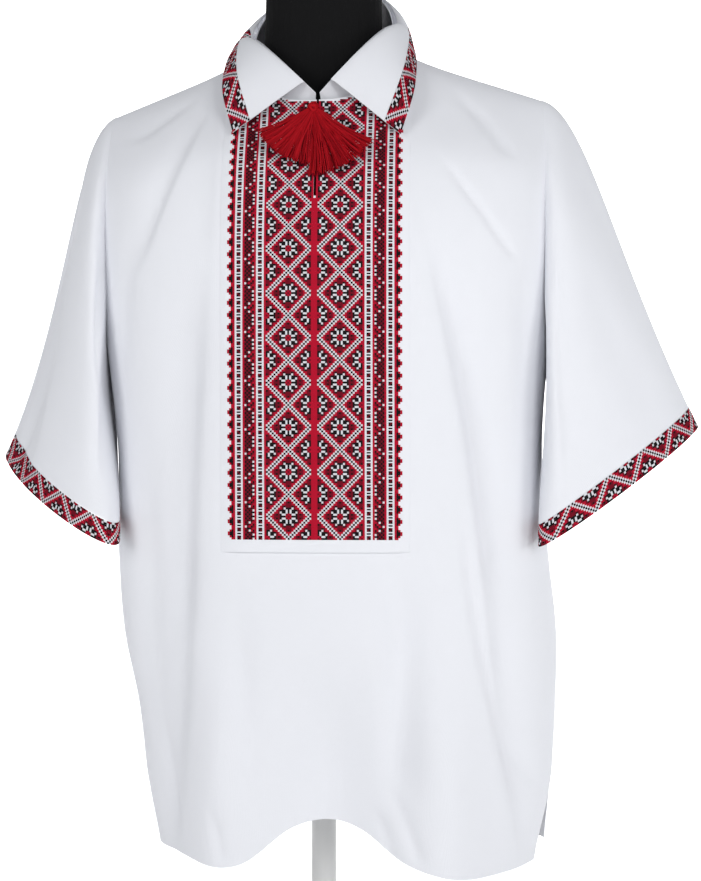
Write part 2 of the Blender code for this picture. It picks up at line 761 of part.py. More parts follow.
def add_round(name, radius, low, high, look, collection, edge=ROUND_EDGE):
    bpy.ops.mesh.primitive_cylinder_add(vertices=ROUND_SIDES, radius=radius, depth=high - low,
                                        location=(0.0, 0.0, (low + high) / 2))
    piece = bpy.context.object
    piece.name = name
    piece.data.name = name
    rounding = piece.modifiers.new("Edge", "BEVEL")
    rounding.width = edge
    rounding.segments = 1
    piece.data.shade_smooth()
    piece.data.set_sharp_from_angle(angle=math.radians(40.0))
    piece.data.materials.append(plain_material(name, look))
    for owner in list(piece.users_collection):
        owner.objects.unlink(piece)
    collection.objects.link(piece)
    return piece


def build_form(collection):
    lofted_solid("form_torso", [form_ring(row) for row in FORM_RINGS], BLACK_COVER, collection)
    neck = FORM_RINGS[-1]
    cap_low = neck.z + SEAM_GAP
    cap_rows = (
        FormRing(cap_low, neck.half_width, neck.half_depth),
        FormRing(cap_low + NECK_CAP_HEIGHT / 2, neck.half_width - NECK_CAP_EDGE,
                 neck.half_depth - NECK_CAP_EDGE),
        FormRing(cap_low + NECK_CAP_HEIGHT, neck.half_width - NECK_CAP_HEIGHT,
                 neck.half_depth - NECK_CAP_HEIGHT),
    )
    lofted_solid("neck_cap", [form_ring(row) for row in cap_rows], BLACK_COVER, collection)

    torso_foot = FORM_RINGS[0].z - SEAM_GAP
    socket_foot = torso_foot - SOCKET_HEIGHT
    flange_top = BASE_HEIGHT + SEAM_GAP + FLANGE_HEIGHT
    add_round("form_socket", SOCKET_RADIUS, socket_foot, torso_foot, WHITE_METAL, collection)
    add_round("stand_pole", POLE_RADIUS, flange_top + SEAM_GAP, socket_foot - SEAM_GAP,
              WHITE_METAL, collection, edge=POLE_EDGE)
    add_round("stand_flange", FLANGE_RADIUS, BASE_HEIGHT + SEAM_GAP, flange_top,
              WHITE_METAL, collection)
    add_round("stand_base", BASE_RADIUS, 0.0, BASE_HEIGHT, WHITE_METAL, collection,
              edge=BASE_EDGE)


def main():
    clear_scene()
    collection = make_collection("embroidered_shirt_on_dress_form")
    front, back = build_body(collection)
    build_sleeves(front, back, collection)
    build_collar(collection)
    build_tassels(collection)
    build_form(collection)


main()
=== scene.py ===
"""Looks of the embroidered shirt on its dress form: cloth, cross-stitch, thread.

The cloth pieces are thin shells worked out from the same sizes as the frame's
solids, on finer grids and with more folds; only the under-arm side of the
sleeves, the armholes and the cloth's thickness are the scene's own.  The embroidery is counted
cross-stitch, one small raised stitch for each cell of a chart made of rules.
"""

import math
from collections import namedtuple

import bpy
import numpy as np
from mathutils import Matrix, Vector


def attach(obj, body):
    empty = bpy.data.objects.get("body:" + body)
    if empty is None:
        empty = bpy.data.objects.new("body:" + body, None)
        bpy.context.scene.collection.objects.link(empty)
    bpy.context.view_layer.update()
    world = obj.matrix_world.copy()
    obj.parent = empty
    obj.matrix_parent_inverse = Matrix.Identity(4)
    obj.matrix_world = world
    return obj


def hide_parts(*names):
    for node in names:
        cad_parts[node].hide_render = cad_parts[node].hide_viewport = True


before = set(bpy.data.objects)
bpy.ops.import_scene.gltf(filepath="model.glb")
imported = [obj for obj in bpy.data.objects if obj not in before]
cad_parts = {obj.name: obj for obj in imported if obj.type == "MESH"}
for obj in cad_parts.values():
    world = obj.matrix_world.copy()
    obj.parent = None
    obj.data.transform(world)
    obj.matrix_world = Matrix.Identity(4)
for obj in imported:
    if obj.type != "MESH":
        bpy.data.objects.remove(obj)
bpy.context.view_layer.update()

# Sizes, in metres

SEAM_GAP = 0.0003
CLOTH = 0.0009
FRONT, BACK = -1, 1
LEFT, RIGHT = -1, 1

# Body: half-widths to the left and right of the axis and half-depths to the
# front and back of it, ring by ring.
BodyRing = namedtuple("BodyRing", "z left right front back")
BODY_RINGS = tuple(BodyRing(*row) for row in (
    (0.170, 0.168, 0.222, 0.116, 0.118),
    (0.280, 0.177, 0.227, 0.117, 0.120),
    (0.340, 0.184, 0.230, 0.118, 0.122),
    (0.410, 0.198, 0.231, 0.120, 0.124),
    (0.490, 0.204, 0.223, 0.124, 0.126),
    (0.600, 0.205, 0.217, 0.128, 0.130),
    (0.665, 0.212, 0.221, 0.130, 0.132),
    (0.740, 0.223, 0.230, 0.130, 0.133),
    (0.800, 0.229, 0.236, 0.127, 0.132),
    (0.860, 0.231, 0.238, 0.112, 0.128),
    (0.915, 0.231, 0.238, 0.084, 0.116),
    (1.030, 0.231, 0.238, 0.072, 0.104),
))
ROUNDNESS = 2.4

# Shoulder line and neckline.
RIDGE_PEAK_Z = 1.006
RIDGE_SLOPE = 0.355
RIDGE_SOFTNESS = 0.020
RIDGE_LEAN = 0.038
NECK_RISE = 0.030
NECK_RISE_WIDTH = 0.060
SHOULDER_ROUNDING = 0.100
NECK_HALF_WIDTH = 0.080
NECK_DROP = {FRONT: 0.105, BACK: 0.016}

# Armholes.
ARMPIT_Z = 0.665
SHOULDER_TIP_X = {LEFT: 0.207, RIGHT: 0.216}
SCOOP_HEIGHT = 0.085

# Side vents and hem.
VENT_TOP_Z = 0.285
VENT_OPENING = 0.018
VENT_PINCH = {FRONT: 0.055, BACK: 0.0}
HemPoint = namedtuple("HemPoint", "x front back")
HEM = tuple(HemPoint(*row) for row in (
    (-0.230, 0.206, 0.200),
    (-0.140, 0.203, 0.199),
    (-0.075, 0.199, 0.203),
    (-0.023, 0.233, 0.207),
    (0.016, 0.239, 0.208),
    (0.046, 0.230, 0.206),
    (0.085, 0.203, 0.203),
    (0.125, 0.189, 0.200),
    (0.240, 0.192, 0.200),
))

# Insert and neck slit.
INSERT_HALF_WIDTH = 0.089
INSERT_FOOT_Z = 0.495
INSERT_LIFT = 0.0016
INSERT_EDGE_LIFT = 0.0003
INSERT_EDGE_WIDTH = 0.008
SLIT_WIDTH = 0.0022
SLIT_FOOT_Z = 0.830

# Folds: troughs (negative depth) and ridges (positive depth) that run down a
# face from head to foot.  A fold that leans has its crease on the path and lies
# on that side of it only; the others lie evenly on both sides.
Fold = namedtuple("Fold", "face x_head z_head x_mid z_mid x_foot z_foot depth width lean")
FOLDS = tuple(Fold(*row) for row in (
    # left side of the front, from the shoulder down to the hem
    (FRONT, -0.088, 0.960, -0.137, 0.845, -0.172, 0.755, -0.0052, 0.008, LEFT),
    (FRONT, -0.110, 0.940, -0.142, 0.914, -0.176, 0.888, -0.0032, 0.007, LEFT),
    (FRONT, -0.092, 0.940, -0.096, 0.860, -0.098, 0.760, -0.0020, 0.012, LEFT),
    (FRONT, -0.096, 0.800, -0.113, 0.560, -0.118, 0.400, -0.0145, 0.020, LEFT),
    (FRONT, -0.114, 0.560, -0.122, 0.360, -0.139, 0.150, -0.0165, 0.025, LEFT),
    (FRONT, -0.168, 0.640, -0.172, 0.480, -0.166, 0.260, -0.0090, 0.014, 0),
    (FRONT, -0.164, 0.350, -0.152, 0.290, -0.138, 0.215, -0.0040, 0.006, 0),
    (FRONT, -0.176, 0.810, -0.186, 0.740, -0.190, 0.660, -0.0030, 0.009, 0),
    # right side of the front
    (FRONT, 0.092, 0.830, 0.136, 0.640, 0.166, 0.430, -0.0150, 0.013, RIGHT),
    (FRONT, 0.150, 0.560, 0.166, 0.400, 0.201, 0.150, -0.0110, 0.013, RIGHT),
    (FRONT, 0.132, 0.570, 0.158, 0.400, 0.196, 0.235, -0.0050, 0.006, 0),
    (FRONT, 0.108, 0.880, 0.152, 0.824, 0.194, 0.765, -0.0032, 0.005, 0),
    (FRONT, 0.120, 0.950, 0.158, 0.909, 0.188, 0.866, -0.0030, 0.009, 0),
    (FRONT, 0.176, 0.320, 0.194, 0.290, 0.219, 0.262, -0.0040, 0.007, 0),
    (FRONT, 0.196, 0.780, 0.200, 0.700, 0.204, 0.600, -0.0040, 0.010, 0),
    # below the insert
    (FRONT, 0.080, 0.520, 0.083, 0.390, 0.080, 0.240, -0.0100, 0.018, 0),
    (FRONT, -0.074, 0.470, -0.068, 0.360, -0.062, 0.240, -0.0035, 0.013, 0),
    (FRONT, 0.066, 0.280, 0.082, 0.250, 0.100, 0.195, -0.0035, 0.006, 0),
    (FRONT, 0.050, 0.262, 0.064, 0.236, 0.078, 0.190, -0.0025, 0.005, 0),
    (FRONT, -0.100, 0.262, -0.092, 0.236, -0.084, 0.195, -0.0025, 0.006, 0),
    (FRONT, 0.014, 0.430, 0.014, 0.300, 0.014, 0.080, -0.0260, 0.052, 0),
    (FRONT, -0.090, 0.420, -0.092, 0.300, -0.094, 0.080, 0.0120, 0.030, 0),
    (FRONT, 0.118, 0.420, 0.120, 0.300, 0.122, 0.080, 0.0140, 0.034, 0),
    # back
    (BACK, -0.110, 0.840, -0.126, 0.500, -0.134, 0.120, -0.0130, 0.016, LEFT),
    (BACK, -0.160, 0.760, -0.166, 0.500, -0.164, 0.200, -0.0070, 0.010, 0),
    (BACK, -0.080, 0.560, -0.082, 0.380, -0.086, 0.150, -0.0050, 0.009, 0),
    (BACK, -0.040, 0.700, -0.036, 0.400, -0.030, 0.120, -0.0100, 0.015, RIGHT),
    (BACK, 0.014, 0.520, 0.014, 0.340, 0.018, 0.120, -0.0050, 0.010, 0),
    (BACK, 0.052, 0.760, 0.058, 0.420, 0.064, 0.120, -0.0120, 0.016, LEFT),
    (BACK, 0.096, 0.600, 0.104, 0.420, 0.108, 0.220, -0.0045, 0.009, 0),
    (BACK, 0.130, 0.840, 0.142, 0.500, 0.154, 0.120, -0.0130, 0.015, RIGHT),
    (BACK, 0.176, 0.700, 0.184, 0.480, 0.190, 0.280, -0.0070, 0.010, 0),
    (BACK, -0.086, 0.970, -0.140, 0.900, -0.184, 0.830, -0.0050, 0.009, LEFT),
    (BACK, 0.086, 0.975, 0.140, 0.905, 0.188, 0.830, -0.0050, 0.009, RIGHT),
    (BACK, -0.012, 0.960, -0.030, 0.860, -0.044, 0.740, -0.0040, 0.013, 0),
    (BACK, 0.030, 0.960, 0.060, 0.880, 0.090, 0.800, -0.0035, 0.011, 0),
))

# Sleeves: the mouth is a tilted oval between its outer and its under-arm corner.
Sleeve = namedtuple("Sleeve", "outer inner half_depth front_sag crown_start crown_end")
SLEEVES = {
    LEFT: Sleeve((-0.3225, 0.004, 0.586), (-0.1930, -0.078, 0.501), 0.042, 0.012,
                 (-0.045, 0.0, -0.020), (-0.066, 0.0, -0.150)),
    RIGHT: Sleeve((0.3720, 0.010, 0.614), (0.2110, -0.076, 0.499), 0.040, 0.006,
                  (0.045, 0.0, -0.014), (0.083, 0.0, -0.170)),
}
UNDERARM_START = 0.002
UNDERARM_DROP = 0.045
UNDERARM_END = 0.050
SIDE_FULLNESS = 0.040
SIDE_REACH = -0.014
UNDERARM_FLARE = 0.002
CUFF_HEIGHT = 0.0215
CUFF_GAP = SEAM_GAP * 1.4

# Sleeve folds: by the turn round the sleeve (0 at the crown, 90 at the front)
# and the share of its length, from head to foot.  They lean to the crown (-1) or
# to the under-arm (1).
SleeveFold = namedtuple("SleeveFold", "side turn_head turn_foot head foot depth width lean")
SLEEVE_FOLDS = tuple(SleeveFold(*row) for row in (
    (LEFT, 30.0, 64.0, 0.10, 1.15, -0.0066, 17.2, -1),
    (LEFT, 44.0, 36.0, 0.50, 1.15, -0.0030, 8.0, -1),
    (LEFT, 104.0, 112.0, -0.10, 0.45, -0.0042, 12.6, 0),
    (LEFT, 148.0, 132.0, 0.00, 0.90, -0.0048, 18.4, 0),
    (LEFT, 250.0, 262.0, 0.10, 0.95, -0.0048, 14.9, 1),
    (LEFT, 300.0, 312.0, 0.30, 1.10, -0.0036, 11.5, 0),
    (RIGHT, 104.0, 132.0, -0.10, 0.95, -0.0066, 16.1, -1),
    (RIGHT, 66.0, 50.0, 0.25, 0.95, -0.0021, 14.9, 0),
    (RIGHT, 118.0, 176.0, 0.00, 0.40, -0.0030, 8.0, 1),
    (RIGHT, 30.0, 20.0, 0.05, 0.60, -0.0018, 13.8, 0),
    (RIGHT, 262.0, 280.0, 0.05, 0.90, -0.0048, 14.9, 1),
    (RIGHT, 296.0, 318.0, 0.30, 1.05, -0.0033, 11.5, 0),
))

# Collar, by the angle round the neck from the front.
STAND_FRONT_ANGLE = 2.0
LEAF_FRONT_ANGLE = 10.0
FOLD_HALF_WIDTH = 0.069
FOLD_DEPTH = {FRONT: 0.086, BACK: 0.062}
FOLD_SIDE_Z = 1.006
FOLD_DROP = {FRONT: 0.076, BACK: 0.062}
COLLAR_LEAN = 0.090
LEAF_LEAN = -0.018
STAND_INSET = 0.0065
LEAF_ROLL = 0.0040
LEAF_FULLNESS = 0.003
LEAF_SIDE_FULLNESS = 0.009
LEAF_RISE = 0.001
LEAF_SIDE_RISE = 0.004
LEAF_SIDE_POWER = 4
LEAF_STRAIGHT = 0.45
LEAF_START = 0.001
TRIM_WIDTH = 0.020
TRIM_SIDE_WIDTH = 0.006
TRIM_GAP = SEAM_GAP
LeafEdge = namedtuple("LeafEdge", "angle x y z")
LEAF_EDGE = tuple(LeafEdge(*row) for row in (
    (10.0, 0.080, -0.103, 0.8915),
    (50.0, 0.0925, -0.081, 0.9385),
    (90.0, 0.0915, -0.006, 0.9865),
    (130.0, 0.078, 0.072, 0.998),
    (180.0, 0.000, 0.112, 1.000),
))

# Tassels.
KNOT_CENTRE = (-0.003, -0.1000, 0.9160)
KNOT_RADIUS = 0.0065
TASSEL_LENGTH = {LEFT: 0.055, RIGHT: 0.065}
TASSEL_SWING = {LEFT: 33.0, RIGHT: 28.0}
TASSEL_SPREAD = 33.0
TASSEL_LEAN = 0.0250
TASSEL_THREADS = 300
THREAD_RADIUS = 0.00042
THREAD_POINTS = 9
TASSEL_DEPTH_HEAD = 0.003
TASSEL_DEPTH_FOOT = 0.0045
TASSEL_SEED = 11
THREAD_SHORTER_ASIDE = 0.13
THREAD_LENGTH_SPREAD = 0.018
THREAD_REACH = 0.85
THREAD_BEND_POWER = 1.35
THREAD_WAVE = 0.0011
THREAD_WAVE_COUNTS = (1.0, 2.6)
THREAD_START_WIDTH = 0.003
# Threads deeper towards the front than this share take mostly the painted lit tone of the tassel
# red.
THREAD_PAINTED_LIT_DEPTH = 0.2
KNOT_WRAP = 0.0013
KNOT_LAPS = 9

# A record of a cloth piece as it was cut: width, length and flat area of what shows; no pieces are
# given here.
Sheet = namedtuple("Sheet", "piece width length area rests_on stitches")

# Mesh counts.
SIDE_COLUMNS = 60
INSERT_COLUMNS = 40
HEM_ROWS = 64
WAIST_ROWS = 36
ARMHOLE_ROWS = 70
SLEEVE_ROWS = 70
CUFF_ROWS = 8
PANEL_ROWS = (HEM_ROWS, WAIST_ROWS, ARMHOLE_ROWS)
COLLAR_COLUMNS = 200
STAND_ROWS = 8
LEAF_ROWS = 16
TRIM_ROWS = 6
SAMPLES = 240
ARC_SAMPLES = 2000

# How the surface is worked out.
SEAM_STRIP = 0.0025
HALF_SEAM_GAP = SEAM_GAP * 0.6
FOLD_FADE_HEAD = 0.45
FOLD_FADE_FOOT = 0.20
CREASE_SOFTNESS = 0.28
EDGE_CALM = 6
SLEEVE_FADE = 0.3
SLEEVE_CALM_MOUTH = 0.10
SLEEVE_MOUTH_SHARE = 0.35
SLEEVE_CALM_HEAD = 0.10
DEPTH_TO_WIDTH = 0.57
ROW_CROWDING = 1.5
HEM_STEPS = 4
SHOULDER_STEPS = 40
SHOULDER_GUESS_Z = 0.95

# Embroidery: counted stitches, in columns across a half of the insert and rows
# up it.  A cell is one stitch.
CELL_ACROSS = 0.00184
CELL_UP = 0.00190
INSERT_MARGIN_FOOT = 0.012
INSERT_TOP_Z = 0.962
STITCH_LIFT = 0.00012
STITCH_RISE = 0.00055
WHITE_STITCH_SIZE = 0.70
STITCH_ROWS = 262
STITCH_OVERRUN = 0.5
CUFF_CELLS = 220
TRIM_CELLS = 264
LATTICE_SIZE = 22
WAVE_ROWS = 12
WAVE_REACH = 4
SCALLOP_ROWS = 6
BAND_ROWS = 11
MOTIF_COLUMNS = (
    ("scallop", 3),
    ("line", 1),
    ("ladder", 4),
    ("line", 1),
    ("zigzag", 5),
    ("line", 1),
    ("ladder", 4),
    ("line", 1),
    ("lattice", 23),
    ("line", 1),
)
THREADS = ("bright_red", "crimson", "black", "white")
STAR_WHITE = ((2, 1), (3, 1), (4, 2))
STAR_CRIMSON = ((0, 0), (1, 1), (5, 0), (6, 0), (5, 1))
STAR_BRIGHT = ((1, 0),)
BARE = None
Stitch = namedtuple("Stitch", "column row high thread")

# Looks.
COTTON = (0.80, 0.81, 0.85)
COTTON_PITCH = 0.00055
COVER_PITCH = 0.0009
WAVE_BANDS = 3.14
SLUB_SIZE = 0.004
SLUB_SHARE = 1.2
THREAD_GRAIN = 0.0006
PAINT_GRAIN = 0.002
PAINT_BUMP = 0.1
THREAD_BUMP = 0.4
THREAD_GLOSS = 0.12
WEAVE_GLOSS = 0.15
WEAVE_DISTORTION = 0.6
WEAVE_RELIEF = 0.5
SHARP_ANGLE = 50.0

# Stage, lights and camera.
STAGE_NEAR_Y = -3.0
STAGE_WALL_Y = 3.5
STAGE_CURVE = 0.5
STAGE_CURVE_STEPS = 10
STAGE_HEIGHT = 3.0
STAGE_HALF_WIDTH = 3.0
Lamp = namedtuple("Lamp", "name place target size power")
LAMPS = tuple(Lamp(*row) for row in (
    ("key", (1.15, -2.3, 1.25), (0.0, 0.0, 0.60), (0.8, 0.8), 19.5),
    ("fill", (-1.5, -1.9, 1.2), (0.0, 0.0, 0.60), (1.0, 1.0), 19.0),
    ("side", (1.9, -1.3, 0.9), (0.2, 0.0, 0.60), (0.8, 0.8), 10.0),
    ("wall_left", (-1.1, 1.4, 2.3), (-0.6, 3.5, 0.3), (1.6, 0.5), 90.0),
    ("wall_right", (1.1, 1.4, 2.3), (0.6, 3.5, 0.3), (1.6, 0.5), 90.0),
))
WORLD_COLOUR = (0.95, 0.97, 1.0)
WORLD_STRENGTH = 0.32
EXPOSURE = 0.0
CAMERA_TURN = 4.0
CAMERA_DISTANCE = 2.0
CAMERA_Z = 0.6
CAMERA_ASIDE = 0.0265
CAMERA_VIEW_HEIGHT = 0.881
SENSOR = 36.0


# Curves and grids

def soft_curve(x, xs, ys):
    """Smooth curve through table points, flat beyond the ends."""
    xs = np.asarray(xs, dtype=float)
    ys = np.asarray(ys, dtype=float)
    x = np.clip(x, xs[0], xs[-1])
    slopes = np.gradient(ys, xs)
    index = np.clip(np.searchsorted(xs, x, side="right") - 1, 0, len(xs) - 2)
    span = xs[index + 1] - xs[index]
    t = (x - xs[index]) / span
    start = (2 * t**3 - 3 * t**2 + 1) * ys[index] + (t**3 - 2 * t**2 + t) * span * slopes[index]
    end = (3 * t**2 - 2 * t**3) * ys[index + 1] + (t**3 - t**2) * span * slopes[index + 1]
    return start + end


def column_of(table, name):
    return [getattr(row, name) for row in table]


def smooth_step(t):
    t = np.clip(t, 0.0, 1.0)
    return t * t * (3.0 - 2.0 * t)


def path_length(points):
    steps = np.linalg.norm(np.diff(points, axis=0), axis=1)
    return np.concatenate(([0.0], np.cumsum(steps)))


def along_path(points, distances):
    """Points of a path at the given distances along it."""
    length = path_length(points)
    return np.stack([np.interp(distances, length, points[:, axis]) for axis in range(3)], axis=1)


def even_along(points, count):
    return along_path(points, np.linspace(0.0, path_length(points)[-1], count))


def grid_normals(grid, closed=False):
    """Unit normals of a grid whose columns run to the viewer's right and rows up."""
    if closed:
        along = np.roll(grid, -1, axis=1) - np.roll(grid, 1, axis=1)
    else:
        along = np.gradient(grid, axis=1)
    up = np.gradient(grid, axis=0)
    normals = np.cross(along, up)
    return normals / np.linalg.norm(normals, axis=2, keepdims=True)


def grid_quads(rows, columns, closed=False, left_out=None):
    last = columns if closed else columns - 1
    row, column = np.meshgrid(np.arange(rows - 1), np.arange(last), indexing="ij")
    beside = (column + 1) % columns
    quads = np.stack([row * columns + column, row * columns + beside,
                      (row + 1) * columns + beside, (row + 1) * columns + column], axis=-1)
    if left_out is None:
        return quads.reshape(-1, 4)
    return quads[~left_out(row, column)]


def shell(grid, thickness=CLOTH, closed=False, left_out=None, flip=False):
    """Points and faces of a thin wall whose outer face is the grid."""
    rows, columns, _ = grid.shape
    quads = grid_quads(rows, columns, closed, left_out)
    inward = grid_normals(grid, closed) * (thickness if flip else -thickness)
    if flip:
        quads = quads[:, ::-1]
    points = np.concatenate([grid.reshape(-1, 3), (grid + inward).reshape(-1, 3)])
    count = rows * columns
    ends = np.concatenate([quads[:, [k, (k + 1) % 4]] for k in range(4)])
    _, which, uses = np.unique(np.sort(ends, axis=1), axis=0, return_inverse=True,
                               return_counts=True)
    rim = ends[uses[which.reshape(-1)] == 1]
    walls = np.stack([rim[:, 1], rim[:, 0], rim[:, 0] + count, rim[:, 1] + count], axis=1)
    faces = np.concatenate([quads, quads[:, ::-1] + count, walls])
    used, faces = np.unique(faces, return_inverse=True)
    return points[used], faces.reshape(-1, 4)


# Body surface

def side_name(side):
    return "right" if side == RIGHT else "left"


def depth_name(face):
    return "front" if face == FRONT else "back"


def body_size(z, name):
    return soft_curve(z, column_of(BODY_RINGS, "z"), column_of(BODY_RINGS, name))


def bulge(across):
    """Depth share of a ring at a share of its half-width."""
    inside = np.clip(1.0 - np.abs(across) ** ROUNDNESS, 0.0, 1.0)
    return inside ** (1.0 / ROUNDNESS)


def ridge_z(x):
    """Height of the shoulder line at x."""
    slope = RIDGE_PEAK_Z - RIDGE_SLOPE * np.sqrt(x * x + RIDGE_SOFTNESS**2)
    return slope + NECK_RISE * np.exp(-((x / NECK_RISE_WIDTH) ** 2)) + RIDGE_LEAN * x


def neckline_z(x, face):
    drop = np.clip(1.0 - (x / NECK_HALF_WIDTH) ** 2, 0.0, 1.0)
    return ridge_z(x) - NECK_DROP[face] * drop


def shoulder_share(x, z):
    """How much of the ring's depth is left below the rounded shoulder line."""
    t = np.clip((ridge_z(x) - z) / SHOULDER_ROUNDING, 0.0, 1.0)
    return np.sqrt(1.0 - (1.0 - t) ** 2)


def fold_shape(away, width, lean):
    """Share of a fold's depth at a distance across its path."""
    if lean == 0:
        return np.exp(-((away / width) ** 2))
    inside = away * lean / width
    inside = (inside + np.sqrt(inside**2 + CREASE_SOFTNESS**2)) / 2
    return inside * np.exp(1.0 - inside)


def fold_depth(face, x, z):
    """Outward offset of the cloth by its folds."""
    total = np.zeros_like(x)
    for fold in FOLDS:
        if fold.face != face:
            continue
        path = soft_curve(z, (fold.z_foot, fold.z_mid, fold.z_head),
                          (fold.x_foot, fold.x_mid, fold.x_head))
        length = fold.z_head - fold.z_foot
        fade = smooth_step((fold.z_head - z) / (FOLD_FADE_HEAD * length))
        fade = fade * smooth_step((z - fold.z_foot) / (FOLD_FADE_FOOT * length))
        total = total + fold.depth * fade * fold_shape(x - path, fold.width, fold.lean)
    return total


def body_point(face, side, across, z, strip=0.0):
    """A point on the front or back, at a share of the half-width and a height.

    A strip moves it on by that width, round the body towards the side seam.
    """
    half_width = body_size(z, side_name(side))
    half_depth = body_size(z, depth_name(face))
    vent = smooth_step((VENT_TOP_Z - z) / (VENT_TOP_Z - BODY_RINGS[0].z))
    x = side * half_width * across * (1.0 - VENT_PINCH[face] * vent)
    share = bulge(across)
    y = face * half_depth * share * shoulder_share(x, z)
    normal_x = side * np.abs(across) ** (ROUNDNESS - 1.0) / half_width
    normal_y = face * share ** (ROUNDNESS - 1.0) / half_depth
    size = np.sqrt(normal_x**2 + normal_y**2)
    offset = fold_depth(face, x, z) * (1.0 - np.abs(across) ** EDGE_CALM)
    x = x + (offset * normal_x + side * face * strip * normal_y) / size
    y = y + (offset * normal_y - side * face * strip * normal_x) / size
    y = face * np.maximum(face * y + SEAM_STRIP, 0.0) + face * HALF_SEAM_GAP
    return np.stack([x, y, z + 0.0 * x], axis=-1)


def build_arc_table():
    angle = np.linspace(0.0, math.pi / 2, ARC_SAMPLES)
    across = np.sin(angle) ** (2.0 / ROUNDNESS)
    depth = np.cos(angle) ** (2.0 / ROUNDNESS)
    steps = np.hypot(np.diff(across), DEPTH_TO_WIDTH * np.diff(depth))
    return across, np.concatenate(([0.0], np.cumsum(steps)))


ACROSS_TABLE, ARC_TABLE = build_arc_table()


def edge_across(side, z):
    """Share of the half-width at which the panel ends: side seam, vent or armhole."""
    tip = SHOULDER_TIP_X[side] / body_size(z, side_name(side))
    scoop = np.clip((z - ARMPIT_Z) / SCOOP_HEIGHT, 0.0, 1.0)
    armhole = 1.0 - (1.0 - tip) * np.sqrt(1.0 - (1.0 - scoop) ** 2) ** ROUNDNESS
    vent = 1.0 - VENT_OPENING * smooth_step((VENT_TOP_Z - z) / (VENT_TOP_Z - BODY_RINGS[0].z))
    return np.where(z > ARMPIT_Z, armhole, vent)


def side_across(side, share, z):
    """Share of the half-width, a share of the way from the insert to the edge."""
    inner = INSERT_HALF_WIDTH / body_size(z, side_name(side))
    start = np.interp(inner, ACROSS_TABLE, ARC_TABLE)
    end = np.interp(edge_across(side, z), ACROSS_TABLE, ARC_TABLE)
    return np.interp(start + (end - start) * share, ARC_TABLE, ACROSS_TABLE)


def hem_height(face, side, across_at):
    z = np.array(HEM[0].front)
    for _ in range(HEM_STEPS):
        x = side * body_size(z, side_name(side)) * across_at(z)
        z = soft_curve(x, column_of(HEM, "x"), column_of(HEM, depth_name(face)))
    return float(z)


def shoulder_height(side, across_at):
    z = np.array(SHOULDER_GUESS_Z)
    for _ in range(SHOULDER_STEPS):
        z = ridge_z(side * body_size(z, side_name(side)) * across_at(z))
    return float(z)


def column_points(face, side, share, inset_x, strip=0.0):
    """One column of a panel, from the hem to the shoulder seam or neckline.

    The last step is a narrow strip that lies square to the seam or opening.
    """
    def across_at(z):
        if share is None:
            return np.abs(inset_x) / body_size(z, side_name(side))
        return side_across(side, share, z)

    if share is None and abs(inset_x) < NECK_HALF_WIDTH:
        top_z = float(neckline_z(np.array(inset_x), face))
    else:
        top_z = shoulder_height(side, across_at)
    stops = (hem_height(face, side, across_at), INSERT_FOOT_Z, ARMPIT_Z, top_z)
    parts = []
    for low, high, count in zip(stops[:-1], stops[1:], PANEL_ROWS):
        blend = np.linspace(0.0, 1.0, SAMPLES)
        heights = high - (high - low) * (1.0 - blend) ** ROW_CROWDING
        path = body_point(face, side, across_at(heights), heights, strip)
        path = even_along(path, count + 1)
        parts.append(path if not parts else path[1:])
    top = parts[-1][-1]
    fall = np.clip((ridge_z(top[0]) - top[2]) / SHOULDER_ROUNDING, 0.0, 1.0)
    rise = np.array((0.0, -face * (1.0 - fall), math.sqrt(1.0 - (1.0 - fall) ** 2)))
    strip_end = top + rise * SEAM_STRIP / np.linalg.norm(rise)
    strip_end[1] = face * max(face * strip_end[1], HALF_SEAM_GAP)
    parts.append(strip_end[None])
    return np.concatenate(parts)


def insert_half():
    """Distances from the centre line of the columns in one half of the insert."""
    half = INSERT_COLUMNS // 2
    outside = [INSERT_HALF_WIDTH * step / half for step in range(half, 0, -1)]
    return outside + [SLIT_WIDTH / 2]


def panel_grid(face):
    """Outer face of the front or back: rows up from the hem, columns left to right."""
    columns = [column_points(face, LEFT, 1.0, 0.0, SEAM_STRIP)]
    for step in range(SIDE_COLUMNS):
        columns.append(column_points(face, LEFT, 1.0 - step / SIDE_COLUMNS, 0.0))
    for x in insert_half():
        columns.append(column_points(face, LEFT, None, -x))
    for x in insert_half()[::-1]:
        columns.append(column_points(face, RIGHT, None, x))
    for step in range(1, SIDE_COLUMNS + 1):
        columns.append(column_points(face, RIGHT, step / SIDE_COLUMNS, 0.0))
    columns.append(column_points(face, RIGHT, 1.0, 0.0, SEAM_STRIP))
    return np.stack(columns, axis=1)


# Sleeves

def armhole_loop(front, back, side):
    """Points round the armhole: shoulder tip, down the front, armpit, up the back."""
    column = -1 if side == RIGHT else 0
    armpit_row = HEM_ROWS + WAIST_ROWS
    down = front[armpit_row:, column][::-1]
    up = back[armpit_row:, column]
    loop = np.concatenate([down[:-1], up[:-1]])
    loop[0] = (down[0] + up[-1]) / 2
    armpit = len(down) - 1
    loop[armpit] = (down[-1] + up[0]) / 2
    return loop


